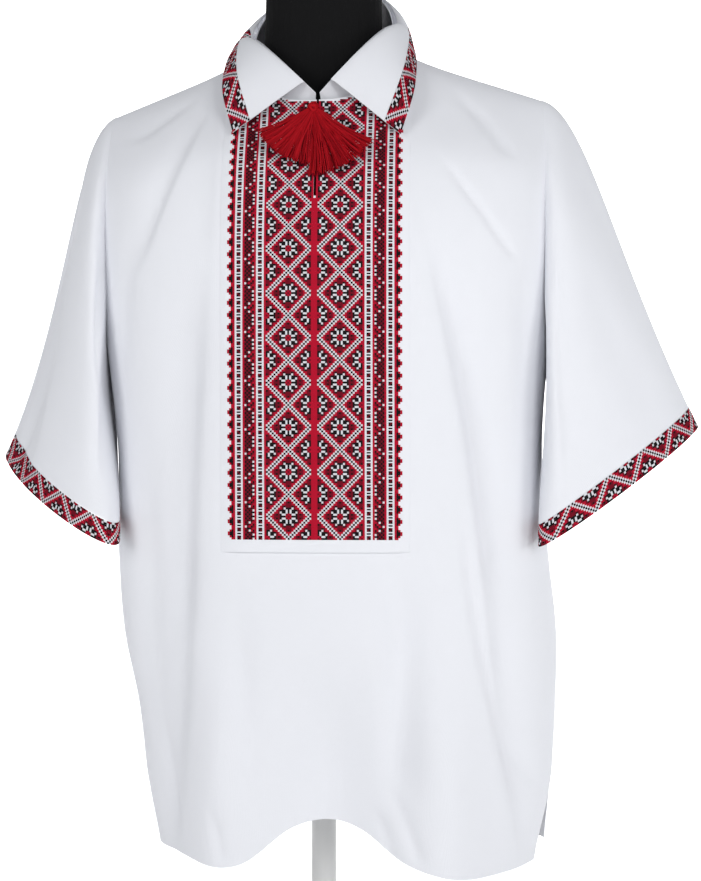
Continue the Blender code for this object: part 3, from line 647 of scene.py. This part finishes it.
def sleeve_paths(front, back, side):
    """Lines from the armhole to the mouth, one for each point of the loop."""
    size = SLEEVES[side]
    loop = armhole_loop(front, back, side)
    angle = np.arange(len(loop)) * 2.0 * math.pi / len(loop)
    high = ((1.0 + np.cos(angle)) / 2.0)[:, None]
    ahead = np.sin(angle)[:, None]
    outer = np.array(size.outer)
    inner = np.array(size.inner)
    depth = np.array((0.0, -size.half_depth, -size.front_sag))
    mouth = (outer + inner) / 2 + np.cos(angle)[:, None] * (outer - inner) / 2 + ahead * depth
    under_start = np.array((side * UNDERARM_START, 0.0, -UNDERARM_DROP))
    start = high * np.array(size.crown_start) + (1.0 - high) * under_start
    start = start + ahead * np.array((side * SIDE_REACH, -SIDE_FULLNESS, 0.0))
    under_end = np.array((side * UNDERARM_FLARE, 0.0, -UNDERARM_END))
    end = high * np.array(size.crown_end) + (1.0 - high) * under_end
    second = loop + start
    third = mouth - end
    t = np.linspace(0.0, 1.0, SAMPLES)[:, None, None]
    curves = ((1 - t) ** 3 * loop + 3 * (1 - t) ** 2 * t * second
              + 3 * (1 - t) * t**2 * third + t**3 * mouth)
    return [curves[:, index] for index in range(len(loop))]


def sleeve_grids(front, back, side):
    """Outer faces of the sleeve and of its band, rows up from the mouth."""
    sleeve_columns = []
    cuff_columns = []
    for path in sleeve_paths(front, back, side):
        length = path_length(path)[-1]
        seam = length - CUFF_HEIGHT
        sleeve_columns.append(along_path(path, np.linspace(0.0, seam - CUFF_GAP, SLEEVE_ROWS + 1)))
        cuff_columns.append(along_path(path, np.linspace(seam, length, CUFF_ROWS + 1)))
    sleeve = np.stack(sleeve_columns, axis=1)[::-1]
    cuff = np.stack(cuff_columns, axis=1)[::-1]
    whole = np.concatenate([cuff, sleeve])
    whole = fold_sleeve(whole, side)
    return whole[CUFF_ROWS + 1:], whole[:CUFF_ROWS + 1]


def fold_sleeve(grid, side):
    """The sleeve with its folds pushed into it, along its own normals."""
    rows, columns, _ = grid.shape
    turn = np.arange(columns)[None, :] * 360.0 / columns
    share = np.linspace(1.0, 0.0, rows)[:, None]
    offset = np.zeros((rows, columns))
    for fold in SLEEVE_FOLDS:
        if fold.side != side:
            continue
        reach = fold.foot - fold.head
        place = (share - fold.head) / reach
        path = fold.turn_head + (fold.turn_foot - fold.turn_head) * place
        fade = smooth_step(place / SLEEVE_FADE) * smooth_step((1.0 - place) / SLEEVE_FADE)
        offset += fold.depth * fade * fold_shape(turn - path, fold.width, fold.lean)
    offset *= smooth_step((1.0 - share) / SLEEVE_CALM_MOUTH + SLEEVE_MOUTH_SHARE)
    offset *= smooth_step(share / SLEEVE_CALM_HEAD)
    outward_sign = -1.0 if side == RIGHT else 1.0
    return grid + grid_normals(grid, closed=True) * offset[..., None] * outward_sign


# Collar

def collar_angles(front_angle):
    gap = math.radians(front_angle)
    return np.linspace(gap, 2.0 * math.pi - gap, COLLAR_COLUMNS + 1)


def neck_ring(angle):
    """Neckline of the body at an angle from the front, growing to the right."""
    x = NECK_HALF_WIDTH * np.sin(angle)
    side = RIGHT if x >= 0 else LEFT
    face = FRONT if math.cos(angle) >= 0 else BACK
    z = neckline_z(np.array(x), face)
    across = np.abs(x) / body_size(z, side_name(side))
    return body_point(face, side, across, z)


def fold_line(angle):
    """Top of the stand, where the leaf turns over."""
    face = FRONT if math.cos(angle) >= 0 else BACK
    x = FOLD_HALF_WIDTH * math.sin(angle)
    y = -FOLD_DEPTH[face] * math.cos(angle)
    if face == FRONT:
        z = FOLD_SIDE_Z - FOLD_DROP[FRONT] * (1.0 - abs(math.sin(angle)))
    else:
        z = FOLD_SIDE_Z - FOLD_DROP[BACK] * math.cos(angle)
    return np.array((x, y, z + COLLAR_LEAN * x))


def leaf_edge(angle):
    """Outer edge of the leaf, its points included."""
    turn = math.degrees(angle)
    side = 1.0 if turn <= 180.0 else -1.0
    turn = min(turn, 360.0 - turn)
    angles = column_of(LEAF_EDGE, "angle")
    x, y, z = [float(soft_curve(turn, angles, column_of(LEAF_EDGE, name))) for name in "xyz"]
    return np.array((side * x, y, z + LEAF_LEAN * side * x))


def outward(angle):
    return np.array((math.sin(angle), -math.cos(angle), 0.0))


def leaf_path(angle):
    """Section of the leaf: a roll over the fold, fuller at the sides, down to the edge."""
    start = fold_line(angle) + outward(angle) * LEAF_ROLL + np.array((0.0, 0.0, LEAF_START))
    end = leaf_edge(angle)
    to_side = math.sin(angle) ** LEAF_SIDE_POWER
    full = outward(angle) * (LEAF_FULLNESS + LEAF_SIDE_FULLNESS * to_side)
    second = start + full + np.array((0.0, 0.0, LEAF_RISE + LEAF_SIDE_RISE * to_side))
    third = start + (end - start) * LEAF_STRAIGHT + full / 2
    t = np.linspace(0.0, 1.0, SAMPLES)[:, None]
    return ((1 - t) ** 3 * start + 3 * (1 - t) ** 2 * t * second
            + 3 * (1 - t) * t**2 * third + t**3 * end)


def collar_grids():
    """Outer faces of the stand, the leaf and its trim."""
    stand = []
    leaf = []
    trim = []
    for angle in collar_angles(STAND_FRONT_ANGLE):
        low = neck_ring(angle) - outward(angle) * STAND_INSET + np.array((0.0, 0.0, LEAF_START))
        stand.append(np.linspace(low, fold_line(angle), STAND_ROWS + 1))
    for angle in collar_angles(LEAF_FRONT_ANGLE):
        path = leaf_path(angle)
        length = path_length(path)[-1]
        seam = length - TRIM_WIDTH - TRIM_SIDE_WIDTH * math.sin(angle) ** 2
        leaf.append(along_path(path, np.linspace(0.0, seam - TRIM_GAP, LEAF_ROWS + 1))[::-1])
        trim.append(along_path(path, np.linspace(seam, length, TRIM_ROWS + 1))[::-1])
    return [np.stack(columns, axis=1) for columns in (stand, leaf, trim)]


# Embroidery

def lattice_thread(across, up):
    """Thread of one cell in the lattice of diamonds, each with a star in it."""
    half = LATTICE_SIZE // 2
    x = abs(across % LATTICE_SIZE - half)
    y = abs(up % LATTICE_SIZE - half)
    ring = x + y
    if ring > half:
        x, y = half - x, half - y
        ring = x + y
    if ring == half:
        return "black"
    if ring == half - 1:
        return "white"
    if ring == half - 2:
        return "bright_red"
    if ring == half - 3:
        return "crimson" if x % 2 else "bright_red"
    if ring == half - 4:
        return "crimson" if x % 2 else "black"
    cell = (max(x, y), min(x, y))
    if cell in STAR_WHITE:
        return "white"
    if cell in STAR_CRIMSON:
        return "crimson"
    if cell in STAR_BRIGHT:
        return "bright_red"
    return "black"


def zigzag_thread(across, up):
    """A dotted black and white wave between two checked sides."""
    wave = min(abs(up % WAVE_ROWS - WAVE_ROWS // 2), WAVE_REACH)
    if across == wave:
        return ("white", "black")[up % 2]
    if across < wave:
        return ("black", "crimson")[(across + up) % 2]
    return ("black", "crimson", "bright_red")[(across + 2 * up) % 3]


def scallop_thread(across, up):
    step = up % SCALLOP_ROWS
    reach = (2 <= step <= 3, 1 <= step <= 4, True)[across]
    if not reach:
        return BARE
    if across > 0 and 2 - across < step < 3 + across:
        return "black"
    return "bright_red"


def motif_column(motif, width, column, rows):
    """Stitches of one column of a motif, up all its rows."""
    stitches = []
    for row in range(rows):
        high = 1.0
        foot = row
        if motif == "line":
            thread = "bright_red"
        elif motif == "lattice":
            thread = lattice_thread(column, row)
        elif motif == "zigzag":
            thread = zigzag_thread(column, row)
        elif motif == "scallop":
            thread = scallop_thread(column, row)
        elif column in (0, width - 1):
            thread = "white"
        elif row % 4 < 2:
            thread = ("crimson", "black")[(row + column) % 2]
        elif row % 4 == 2:
            thread = "black"
            foot = row + 0.6
            high = 0.8
        else:
            thread = BARE
        if thread is not BARE:
            stitches.append(Stitch(column, foot, high, thread))
    return stitches


def half_chart(rows):
    """Stitches of one half of the insert, columns counted from its outer edge."""
    chart = []
    first = 0
    for motif, width in MOTIF_COLUMNS:
        for column in range(width):
            for stitch in motif_column(motif, width, column, rows):
                chart.append(stitch._replace(column=first + stitch.column))
        first += width
    return chart, first


def band_chart(columns):
    """Stitches of a band: the lower rows of the lattice."""
    chart = []
    for column in range(columns):
        for row in range(BAND_ROWS):
            thread = lattice_thread(column, row)
            chart.append(Stitch(column, row, 1.0, thread))
    return chart


def stitch_mesh(chart, corners, flip=False):
    """Small raised stitches on a grid whose points are the corners of the cells.

    A stitch with a corner beyond the grid, where it is not a number, is left out.
    """
    column = np.array([stitch.column for stitch in chart])
    low = np.array([stitch.row for stitch in chart], dtype=float)
    high = low + np.array([stitch.high for stitch in chart])
    thread = np.array([THREADS.index(stitch.thread) for stitch in chart])

    def corner(across, up):
        row = np.clip(np.floor(up).astype(int), 0, len(corners) - 2)
        share = (up - row)[:, None]
        return corners[row, across] * (1.0 - share) + corners[row + 1, across] * share

    quad = np.stack([corner(column, low), corner(column + 1, low),
                     corner(column + 1, high), corner(column, high)], axis=1)
    normal = np.cross(quad[:, 2] - quad[:, 0], quad[:, 3] - quad[:, 1])
    normal = normal / np.linalg.norm(normal, axis=1, keepdims=True)
    if flip:
        normal = -normal
    middle = quad.mean(axis=1)
    size = np.where(thread == THREADS.index("white"), WHITE_STITCH_SIZE, 1.0)
    quad = middle[:, None] + (quad - middle[:, None]) * size[:, None, None]
    centre = middle + normal * STITCH_RISE
    quad = quad + normal[:, None] * STITCH_LIFT
    points = np.concatenate([quad, centre[:, None]], axis=1)
    kept = np.isfinite(points).all(axis=(1, 2))
    points = points[kept]
    thread = thread[kept]
    start = np.arange(len(points))[:, None] * 5
    turns = ((0, 1, 4), (1, 2, 4), (2, 3, 4), (3, 0, 4))
    if flip:
        turns = [turn[::-1] for turn in turns]
    faces = np.stack([start + np.array(turn) for turn in turns], axis=1)
    return points.reshape(-1, 3), faces.reshape(-1, 3), np.repeat(thread, 4)


def insert_corners(grid, grid_x, wanted_x, rows):
    """Corners of the cells on the insert: one column for each wanted distance."""
    columns = []
    distances = INSERT_MARGIN_FOOT + np.arange(rows + 1) * CELL_UP
    for x in wanted_x:
        index = int(np.clip(np.searchsorted(grid_x, x) - 1, 0, len(grid_x) - 2))
        share = (x - grid_x[index]) / (grid_x[index + 1] - grid_x[index])
        path = grid[:, index] * (1.0 - share) + grid[:, index + 1] * share
        column = along_path(path, distances)
        column[distances > path_length(path)[-1]] = np.nan
        column[column[:, 2] > INSERT_TOP_Z] = np.nan
        columns.append(column)
    return np.stack(columns, axis=1)


def band_corners(grid, count, rows, closed=False):
    """Corners of count by rows cells, even along a band."""
    if closed:
        grid = np.concatenate([grid, grid[:, :1]], axis=1)
    middle = path_length(grid[len(grid) // 2])
    place = np.interp(np.linspace(0.0, middle[-1], count + 1), middle, np.arange(len(middle)))
    index = np.clip(place.astype(int), 0, len(middle) - 2)
    share = (place - index)[None, :, None]
    even = grid[:, index] * (1.0 - share) + grid[:, index + 1] * share
    heights = np.linspace(0.0, len(even) - 1.0, rows + 1)
    index = np.clip(heights.astype(int), 0, len(even) - 2)
    share = (heights - index)[:, None, None]
    return even[index] * (1.0 - share) + even[index + 1] * share


# Materials

def new_material(name, colour, roughness, sheen=0.0, metallic=0.0, gloss=0.5):
    material = bpy.data.materials.new(name)
    material.use_nodes = True
    shader = material.node_tree.nodes["Principled BSDF"]
    shader.inputs["Base Color"].default_value = (*colour, 1.0)
    shader.inputs["Roughness"].default_value = roughness
    shader.inputs["Metallic"].default_value = metallic
    shader.inputs["Sheen Weight"].default_value = sheen
    shader.inputs["Specular IOR Level"].default_value = gloss
    return material


def add_bump(material, height, strength, distance):
    nodes = material.node_tree.nodes
    bump = nodes.new("ShaderNodeBump")
    bump.inputs["Strength"].default_value = strength
    bump.inputs["Distance"].default_value = distance
    links = material.node_tree.links
    links.new(height, bump.inputs["Height"])
    links.new(bump.outputs["Normal"], nodes["Principled BSDF"].inputs["Normal"])


def place_socket(material):
    return material.node_tree.nodes.new("ShaderNodeTexCoord").outputs["Object"]


def wave_height(material, place, direction, pitch):
    """Bands of one direction of threads, as a height."""
    wave = material.node_tree.nodes.new("ShaderNodeTexWave")
    wave.bands_direction = direction
    wave.inputs["Scale"].default_value = 1.0 / (pitch * WAVE_BANDS)
    wave.inputs["Distortion"].default_value = WEAVE_DISTORTION
    wave.inputs["Detail"].default_value = 1.0
    material.node_tree.links.new(place, wave.inputs["Vector"])
    return wave.outputs["Fac"]


def noise_height(material, place, size, detail=2.0):
    noise = material.node_tree.nodes.new("ShaderNodeTexNoise")
    noise.inputs["Scale"].default_value = 1.0 / size
    noise.inputs["Detail"].default_value = detail
    material.node_tree.links.new(place, noise.inputs["Vector"])
    return noise.outputs["Fac"]


def joined(material, operation, first, second):
    node = material.node_tree.nodes.new("ShaderNodeMath")
    node.operation = operation
    for socket, value in zip(node.inputs, (first, second)):
        if isinstance(value, (int, float)):
            socket.default_value = value
        else:
            material.node_tree.links.new(value, socket)
    return node.outputs["Value"]


def woven_material(name, colour, pitch, roughness=0.9, sheen=0.05, strength=0.25):
    """Plain weave: two or three directions of thread and a slight slub."""
    material = new_material(name, colour, roughness, sheen, gloss=WEAVE_GLOSS)
    place = place_socket(material)
    threads = wave_height(material, place, "X", pitch)
    for direction in ("Y", "Z"):
        threads = joined(material, "ADD", threads, wave_height(material, place, direction, pitch))
    slub = joined(material, "MULTIPLY", noise_height(material, place, SLUB_SIZE), SLUB_SHARE)
    add_bump(material, joined(material, "ADD", threads, slub), strength, pitch * WEAVE_RELIEF)
    return material


def thread_material(name, colour):
    material = new_material(name, colour, roughness=0.75, gloss=THREAD_GLOSS)
    height = noise_height(material, place_socket(material), THREAD_GRAIN)
    add_bump(material, height, THREAD_BUMP, THREAD_GRAIN)
    return material


def painted_material(name, colour):
    material = new_material(name, colour, roughness=0.35)
    height = noise_height(material, place_socket(material), PAINT_GRAIN)
    add_bump(material, height, PAINT_BUMP, PAINT_GRAIN * PAINT_BUMP)
    return material


MATERIALS = {
    "cotton": woven_material("white_cotton", COTTON, COTTON_PITCH),
    "bright_red": thread_material("bright_red_thread", (0.430, 0.004, 0.024)),
    "crimson": thread_material("crimson_thread", (0.150, 0.002, 0.012)),
    "black": thread_material("black_thread", (0.005, 0.004, 0.005)),
    "white": thread_material("white_thread", (0.72, 0.72, 0.76)),
    # The tassel thread is one red: a painted lit tone, a painted half-shaded tone and a painted
    # shaded tone.
    "tassel_painted_lit": thread_material("tassel_painted_lit", (0.45, 0.005, 0.012)),
    "tassel_painted_half_shade": thread_material("tassel_painted_half_shade", (0.32, 0.003, 0.009)),
    "tassel_painted_shade": thread_material("tassel_painted_shade", (0.16, 0.002, 0.005)),
    "cover": woven_material("black_form_cover", (0.006, 0.006, 0.0065), COVER_PITCH, 0.9, 0.0),
    "paint": painted_material("white_paint", (0.80, 0.80, 0.79)),
}


# Pieces

def add_piece(name, parts, replaced):
    """One object from parts, each of points, faces and the materials of its faces."""
    points = []
    faces = []
    materials = []
    which = []
    start = 0
    for part_points, part_faces, looks, face_looks in parts:
        points.append(part_points)
        faces.extend((part_faces + start).tolist())
        which.append(np.asarray(face_looks) + len(materials))
        materials.extend(looks)
        start += len(part_points)
    mesh = bpy.data.meshes.new(name)
    mesh.from_pydata(np.concatenate(points).tolist(), [], faces)
    for look in materials:
        mesh.materials.append(MATERIALS[look])
    mesh.polygons.foreach_set("material_index", np.concatenate(which).astype(np.int32))
    mesh.update()
    mesh.shade_smooth()
    mesh.set_sharp_from_angle(angle=math.radians(SHARP_ANGLE))
    piece = bpy.data.objects.new(name, mesh)
    bpy.context.scene.collection.objects.link(piece)
    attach(piece, "root")
    if replaced:
        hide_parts(*replaced)


def cloth_part(grid, **options):
    points, faces = shell(grid, **options)
    return points, faces, ["cotton"], np.zeros(len(faces), dtype=int)


def stitch_part(chart, corners, flip=False):
    points, faces, thread = stitch_mesh(chart, corners, flip)
    return points, faces, list(THREADS), thread


def build_body_pieces():
    front = panel_grid(FRONT)
    back = panel_grid(BACK)
    first = SIDE_COLUMNS + 1
    last = first + INSERT_COLUMNS + 2
    slit_column = first + INSERT_COLUMNS // 2
    slit_row = int(np.argmin(np.abs(front[:, slit_column, 2] - SLIT_FOOT_Z)))

    def slit(row, column):
        return (column == slit_column) & (row >= slit_row)

    add_piece("shirt_front", [cloth_part(front, left_out=slit)], ["front_body"])
    add_piece("shirt_back", [cloth_part(back, flip=True)], ["back_body"])

    from_centre = np.array(insert_half() + insert_half()[::-1])
    to_edge = smooth_step((INSERT_HALF_WIDTH - from_centre) / INSERT_EDGE_WIDTH)
    lift = INSERT_EDGE_LIFT + (INSERT_LIFT - INSERT_EDGE_LIFT) * to_edge
    normals = grid_normals(front)[HEM_ROWS:, first:last]
    raised = front[HEM_ROWS:, first:last] + normals * lift[:, None]

    def left_out(row, column):
        in_slit = (column == slit_column - first) & (row + HEM_ROWS >= slit_row)
        return in_slit | (raised[row, column, 2] > INSERT_TOP_Z)

    add_piece("front_insert", [cloth_part(raised, left_out=left_out)], ["embroidered_insert"])
    above = raised[-1] + (raised[-1] - raised[-2]) * STITCH_OVERRUN
    over = np.concatenate([raised, above[None]])
    add_piece("front_insert_stitches", insert_stitches(over), [])
    return front, back


def insert_stitches(raised):
    """The two mirrored halves of the chart and the red line between them."""
    half = insert_half()
    columns = len(half)
    outer = STITCH_ROWS
    chart, width = half_chart(outer)
    reach = SLIT_WIDTH / 2 + np.arange(width, -1, -1) * CELL_ACROSS
    left = insert_corners(raised[:, :columns], -np.array(half), -reach, outer)
    right = insert_corners(raised[:, columns:], np.array(half[::-1]), reach[::-1], outer)
    mirrored = [stitch._replace(column=width - 1 - stitch.column) for stitch in chart]
    line_rows = int((SLIT_FOOT_Z - INSERT_FOOT_Z - INSERT_MARGIN_FOOT) / CELL_UP)
    line = [Stitch(0, row, 1.0, "bright_red") for row in range(line_rows)]
    centre = np.stack([left[:line_rows + 1, -1], right[:line_rows + 1, 0]], axis=1)
    return [stitch_part(chart, left), stitch_part(mirrored, right), stitch_part(line, centre)]


def build_sleeve_pieces(front, back):
    for side in (LEFT, RIGHT):
        word = side_name(side)
        turned = side == RIGHT
        sleeve, cuff = sleeve_grids(front, back, side)
        add_piece(f"sleeve_{word}_cloth", [cloth_part(sleeve, closed=True, flip=turned)],
                  [f"sleeve_{word}"])
        corners = band_corners(cuff, CUFF_CELLS, BAND_ROWS, closed=True)
        stitches = stitch_part(band_chart(CUFF_CELLS), corners, flip=turned)
        add_piece(f"cuff_{word}_band", [cloth_part(cuff, closed=True, flip=turned)],
                  [f"cuff_{word}"])
        add_piece(f"cuff_{word}_stitches", [stitches], [])


def build_collar_pieces():
    stand, leaf, trim = collar_grids()
    add_piece("collar_stand_cloth", [cloth_part(stand)], ["collar_stand"])
    add_piece("collar_leaf_cloth", [cloth_part(leaf)], ["collar_leaf"])
    corners = band_corners(trim, TRIM_CELLS, BAND_ROWS)
    stitches = stitch_part(band_chart(TRIM_CELLS), corners)
    add_piece("collar_trim_band", [cloth_part(trim)], ["collar_trim"])
    add_piece("collar_trim_stitches", [stitches], [])


# Tassels

def thread_tube(path, radius):
    """A thin three-sided thread along a path."""
    along = np.gradient(path, axis=0)
    along = along / np.linalg.norm(along, axis=1, keepdims=True)
    beside = np.cross(along, np.array((0.0, 1.0, 0.05)))
    beside = beside / np.linalg.norm(beside, axis=1, keepdims=True)
    above = np.cross(beside, along)
    turns = np.arange(3) * 2.0 * math.pi / 3
    ring = (beside[:, None] * np.cos(turns)[None, :, None]
            + above[:, None] * np.sin(turns)[None, :, None])
    points = (path[:, None] + ring * radius).reshape(-1, 3)
    faces = grid_quads(len(path), 3, closed=True)
    return points, faces


def gathered(tubes, look):
    """Several tubes as one part of a piece."""
    points = []
    faces = []
    start = 0
    for tube_points, tube_faces in tubes:
        points.append(tube_points)
        faces.append(tube_faces + start)
        start += len(tube_points)
    faces = np.concatenate(faces)
    return np.concatenate(points), faces, [look], np.zeros(len(faces), dtype=int)


def tassel_threads(side, chance):
    """Threads that leave the knot together and fan out as they fall."""
    swing = math.radians(TASSEL_SWING[side])
    down = np.array((side * math.sin(swing), 0.0, -math.cos(swing)))
    across = np.array((math.cos(swing), 0.0, side * math.sin(swing)))
    t = np.linspace(0.0, 1.0, THREAD_POINTS)[:, None]
    spread = math.radians(TASSEL_SPREAD)
    whole = TASSEL_LENGTH[side]
    tubes = {"tassel_painted_lit": [], "tassel_painted_half_shade": [], "tassel_painted_shade": []}
    for _ in range(TASSEL_THREADS):
        lean = chance.uniform(-1.0, 1.0)
        deep = chance.uniform(-1.0, 1.0)
        length = whole * (1.0 - THREAD_SHORTER_ASIDE * lean**2
                          + chance.normal(0.0, THREAD_LENGTH_SPREAD))
        reach = length * math.tan(spread * lean) * THREAD_REACH
        bend = across * reach * t**THREAD_BEND_POWER + down * length * t
        swell = chance.normal(0.0, THREAD_WAVE)
        wave = across * swell * np.sin(math.pi * t * chance.uniform(*THREAD_WAVE_COUNTS))
        body = math.sqrt(max(1.0 - 0.8 * lean**2, 0.1))
        depth = deep * body * (TASSEL_DEPTH_HEAD + (TASSEL_DEPTH_FOOT - TASSEL_DEPTH_HEAD) * t)
        ahead = np.array((0.0, -1.0, 0.0)) * (TASSEL_LEAN * t + depth)
        start = np.array(KNOT_CENTRE) + across * lean * THREAD_START_WIDTH
        path = start + bend + wave + ahead
        # Painted light: threads towards the front take mostly the painted lit tone, threads behind
        # mostly the painted shaded tones.
        if deep > THREAD_PAINTED_LIT_DEPTH:
            look = chance.choice(("tassel_painted_lit", "tassel_painted_lit", "tassel_painted_half_shade"))
        else:
            look = chance.choice(("tassel_painted_half_shade", "tassel_painted_shade", "tassel_painted_lit"))
        tubes[str(look)].append(thread_tube(path, THREAD_RADIUS))
    return [gathered(threads, look) for look, threads in tubes.items()]


def knot_parts():
    """A tight ball of thread wraps."""
    tubes = []
    turns = np.linspace(0.0, 2.0 * math.pi, 25)
    for lap in range(KNOT_LAPS):
        tilt = math.pi * lap / KNOT_LAPS
        lean = 0.9 * math.sin(lap * 2.4)
        axis_a = np.array((math.cos(tilt), 0.35 * math.sin(lean), math.sin(tilt)))
        axis_a = axis_a / np.linalg.norm(axis_a)
        axis_b = np.cross(axis_a, np.array((math.sin(lap * 1.7), 0.4, math.cos(lap * 1.1))))
        axis_b = axis_b / np.linalg.norm(axis_b)
        radius = KNOT_RADIUS - KNOT_WRAP
        path = (np.array(KNOT_CENTRE) + radius * (np.cos(turns)[:, None] * axis_a
                                                  + np.sin(turns)[:, None] * axis_b))
        tubes.append(thread_tube(path, KNOT_WRAP))
    # The knot is painted in the lit tone of the tassel red.
    return [gathered(tubes, "tassel_painted_lit")]


def build_tassel_pieces():
    chance = np.random.default_rng(TASSEL_SEED)
    for side in (LEFT, RIGHT):
        word = side_name(side)
        add_piece(f"tassel_{word}_threads", tassel_threads(side, chance), [f"tassel_{word}"])
    add_piece("tassel_knot_wraps", knot_parts(), ["tassel_knot"])


# Form, stage, lights and camera

def paint_nodes():
    looks = {
        "form_torso": "cover",
        "neck_cap": "cover",
        "form_socket": "paint",
        "stand_pole": "paint",
        "stand_flange": "paint",
        "stand_base": "paint",
    }
    for name, look in looks.items():
        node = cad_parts[name]
        node.data.materials.clear()
        node.data.materials.append(MATERIALS[look])


def build_stage():
    """A pale floor that curves up into a wall behind."""
    profile = [(STAGE_NEAR_Y, 0.0)]
    for step in range(STAGE_CURVE_STEPS + 1):
        turn = math.pi / 2 * step / STAGE_CURVE_STEPS
        profile.append((STAGE_WALL_Y - STAGE_CURVE * (1.0 - math.sin(turn)),
                        STAGE_CURVE * (1.0 - math.cos(turn))))
    profile.append((STAGE_WALL_Y, STAGE_HEIGHT))
    points = []
    for y, z in profile:
        points.append((-STAGE_HALF_WIDTH, y, z))
        points.append((STAGE_HALF_WIDTH, y, z))
    faces = [(2 * k, 2 * k + 1, 2 * k + 3, 2 * k + 2) for k in range(len(profile) - 1)]
    mesh = bpy.data.meshes.new("stage")
    mesh.from_pydata(points, [], faces)
    mesh.shade_smooth()
    mesh.materials.append(new_material("stage", (0.90, 0.90, 0.90), 0.9))
    stage = bpy.data.objects.new("stage", mesh)
    bpy.context.scene.collection.objects.link(stage)


def add_area_light(name, place, target, size, power):
    light = bpy.data.lights.new(name, "AREA")
    light.shape = "RECTANGLE"
    light.size, light.size_y = size
    light.energy = power
    lamp = bpy.data.objects.new(name, light)
    lamp.location = place
    aim = Vector(target) - Vector(place)
    lamp.rotation_euler = aim.to_track_quat("-Z", "Y").to_euler()
    bpy.context.scene.collection.objects.link(lamp)


def light_scene():
    for lamp in LAMPS:
        add_area_light(lamp.name, lamp.place, lamp.target, lamp.size, lamp.power)
    world = bpy.data.worlds.new("studio")
    world.use_nodes = True
    background = world.node_tree.nodes["Background"]
    background.inputs["Color"].default_value = (*WORLD_COLOUR, 1.0)
    background.inputs["Strength"].default_value = WORLD_STRENGTH
    bpy.context.scene.world = world
    view = bpy.context.scene.view_settings
    view.view_transform = "Standard"
    view.look = "None"
    view.exposure = EXPOSURE


def add_camera():
    turn = math.radians(CAMERA_TURN)
    beside = Vector((math.cos(turn), math.sin(turn), 0.0))
    eye = Vector((CAMERA_DISTANCE * math.sin(turn), -CAMERA_DISTANCE * math.cos(turn), CAMERA_Z))
    target = Vector((0.0, 0.0, CAMERA_Z)) + beside * CAMERA_ASIDE
    lens = bpy.data.cameras.new("camera")
    lens.sensor_width = SENSOR
    lens.lens = CAMERA_DISTANCE * SENSOR / CAMERA_VIEW_HEIGHT
    camera = bpy.data.objects.new("camera", lens)
    camera.location = eye
    camera.rotation_euler = (target - eye).to_track_quat("-Z", "Y").to_euler()
    bpy.context.scene.collection.objects.link(camera)
    bpy.context.scene.camera = camera


def main():
    front, back = build_body_pieces()
    build_sleeve_pieces(front, back)
    build_collar_pieces()
    build_tassel_pieces()
    paint_nodes()
    build_stage()
    light_scene()
    add_camera()


main()
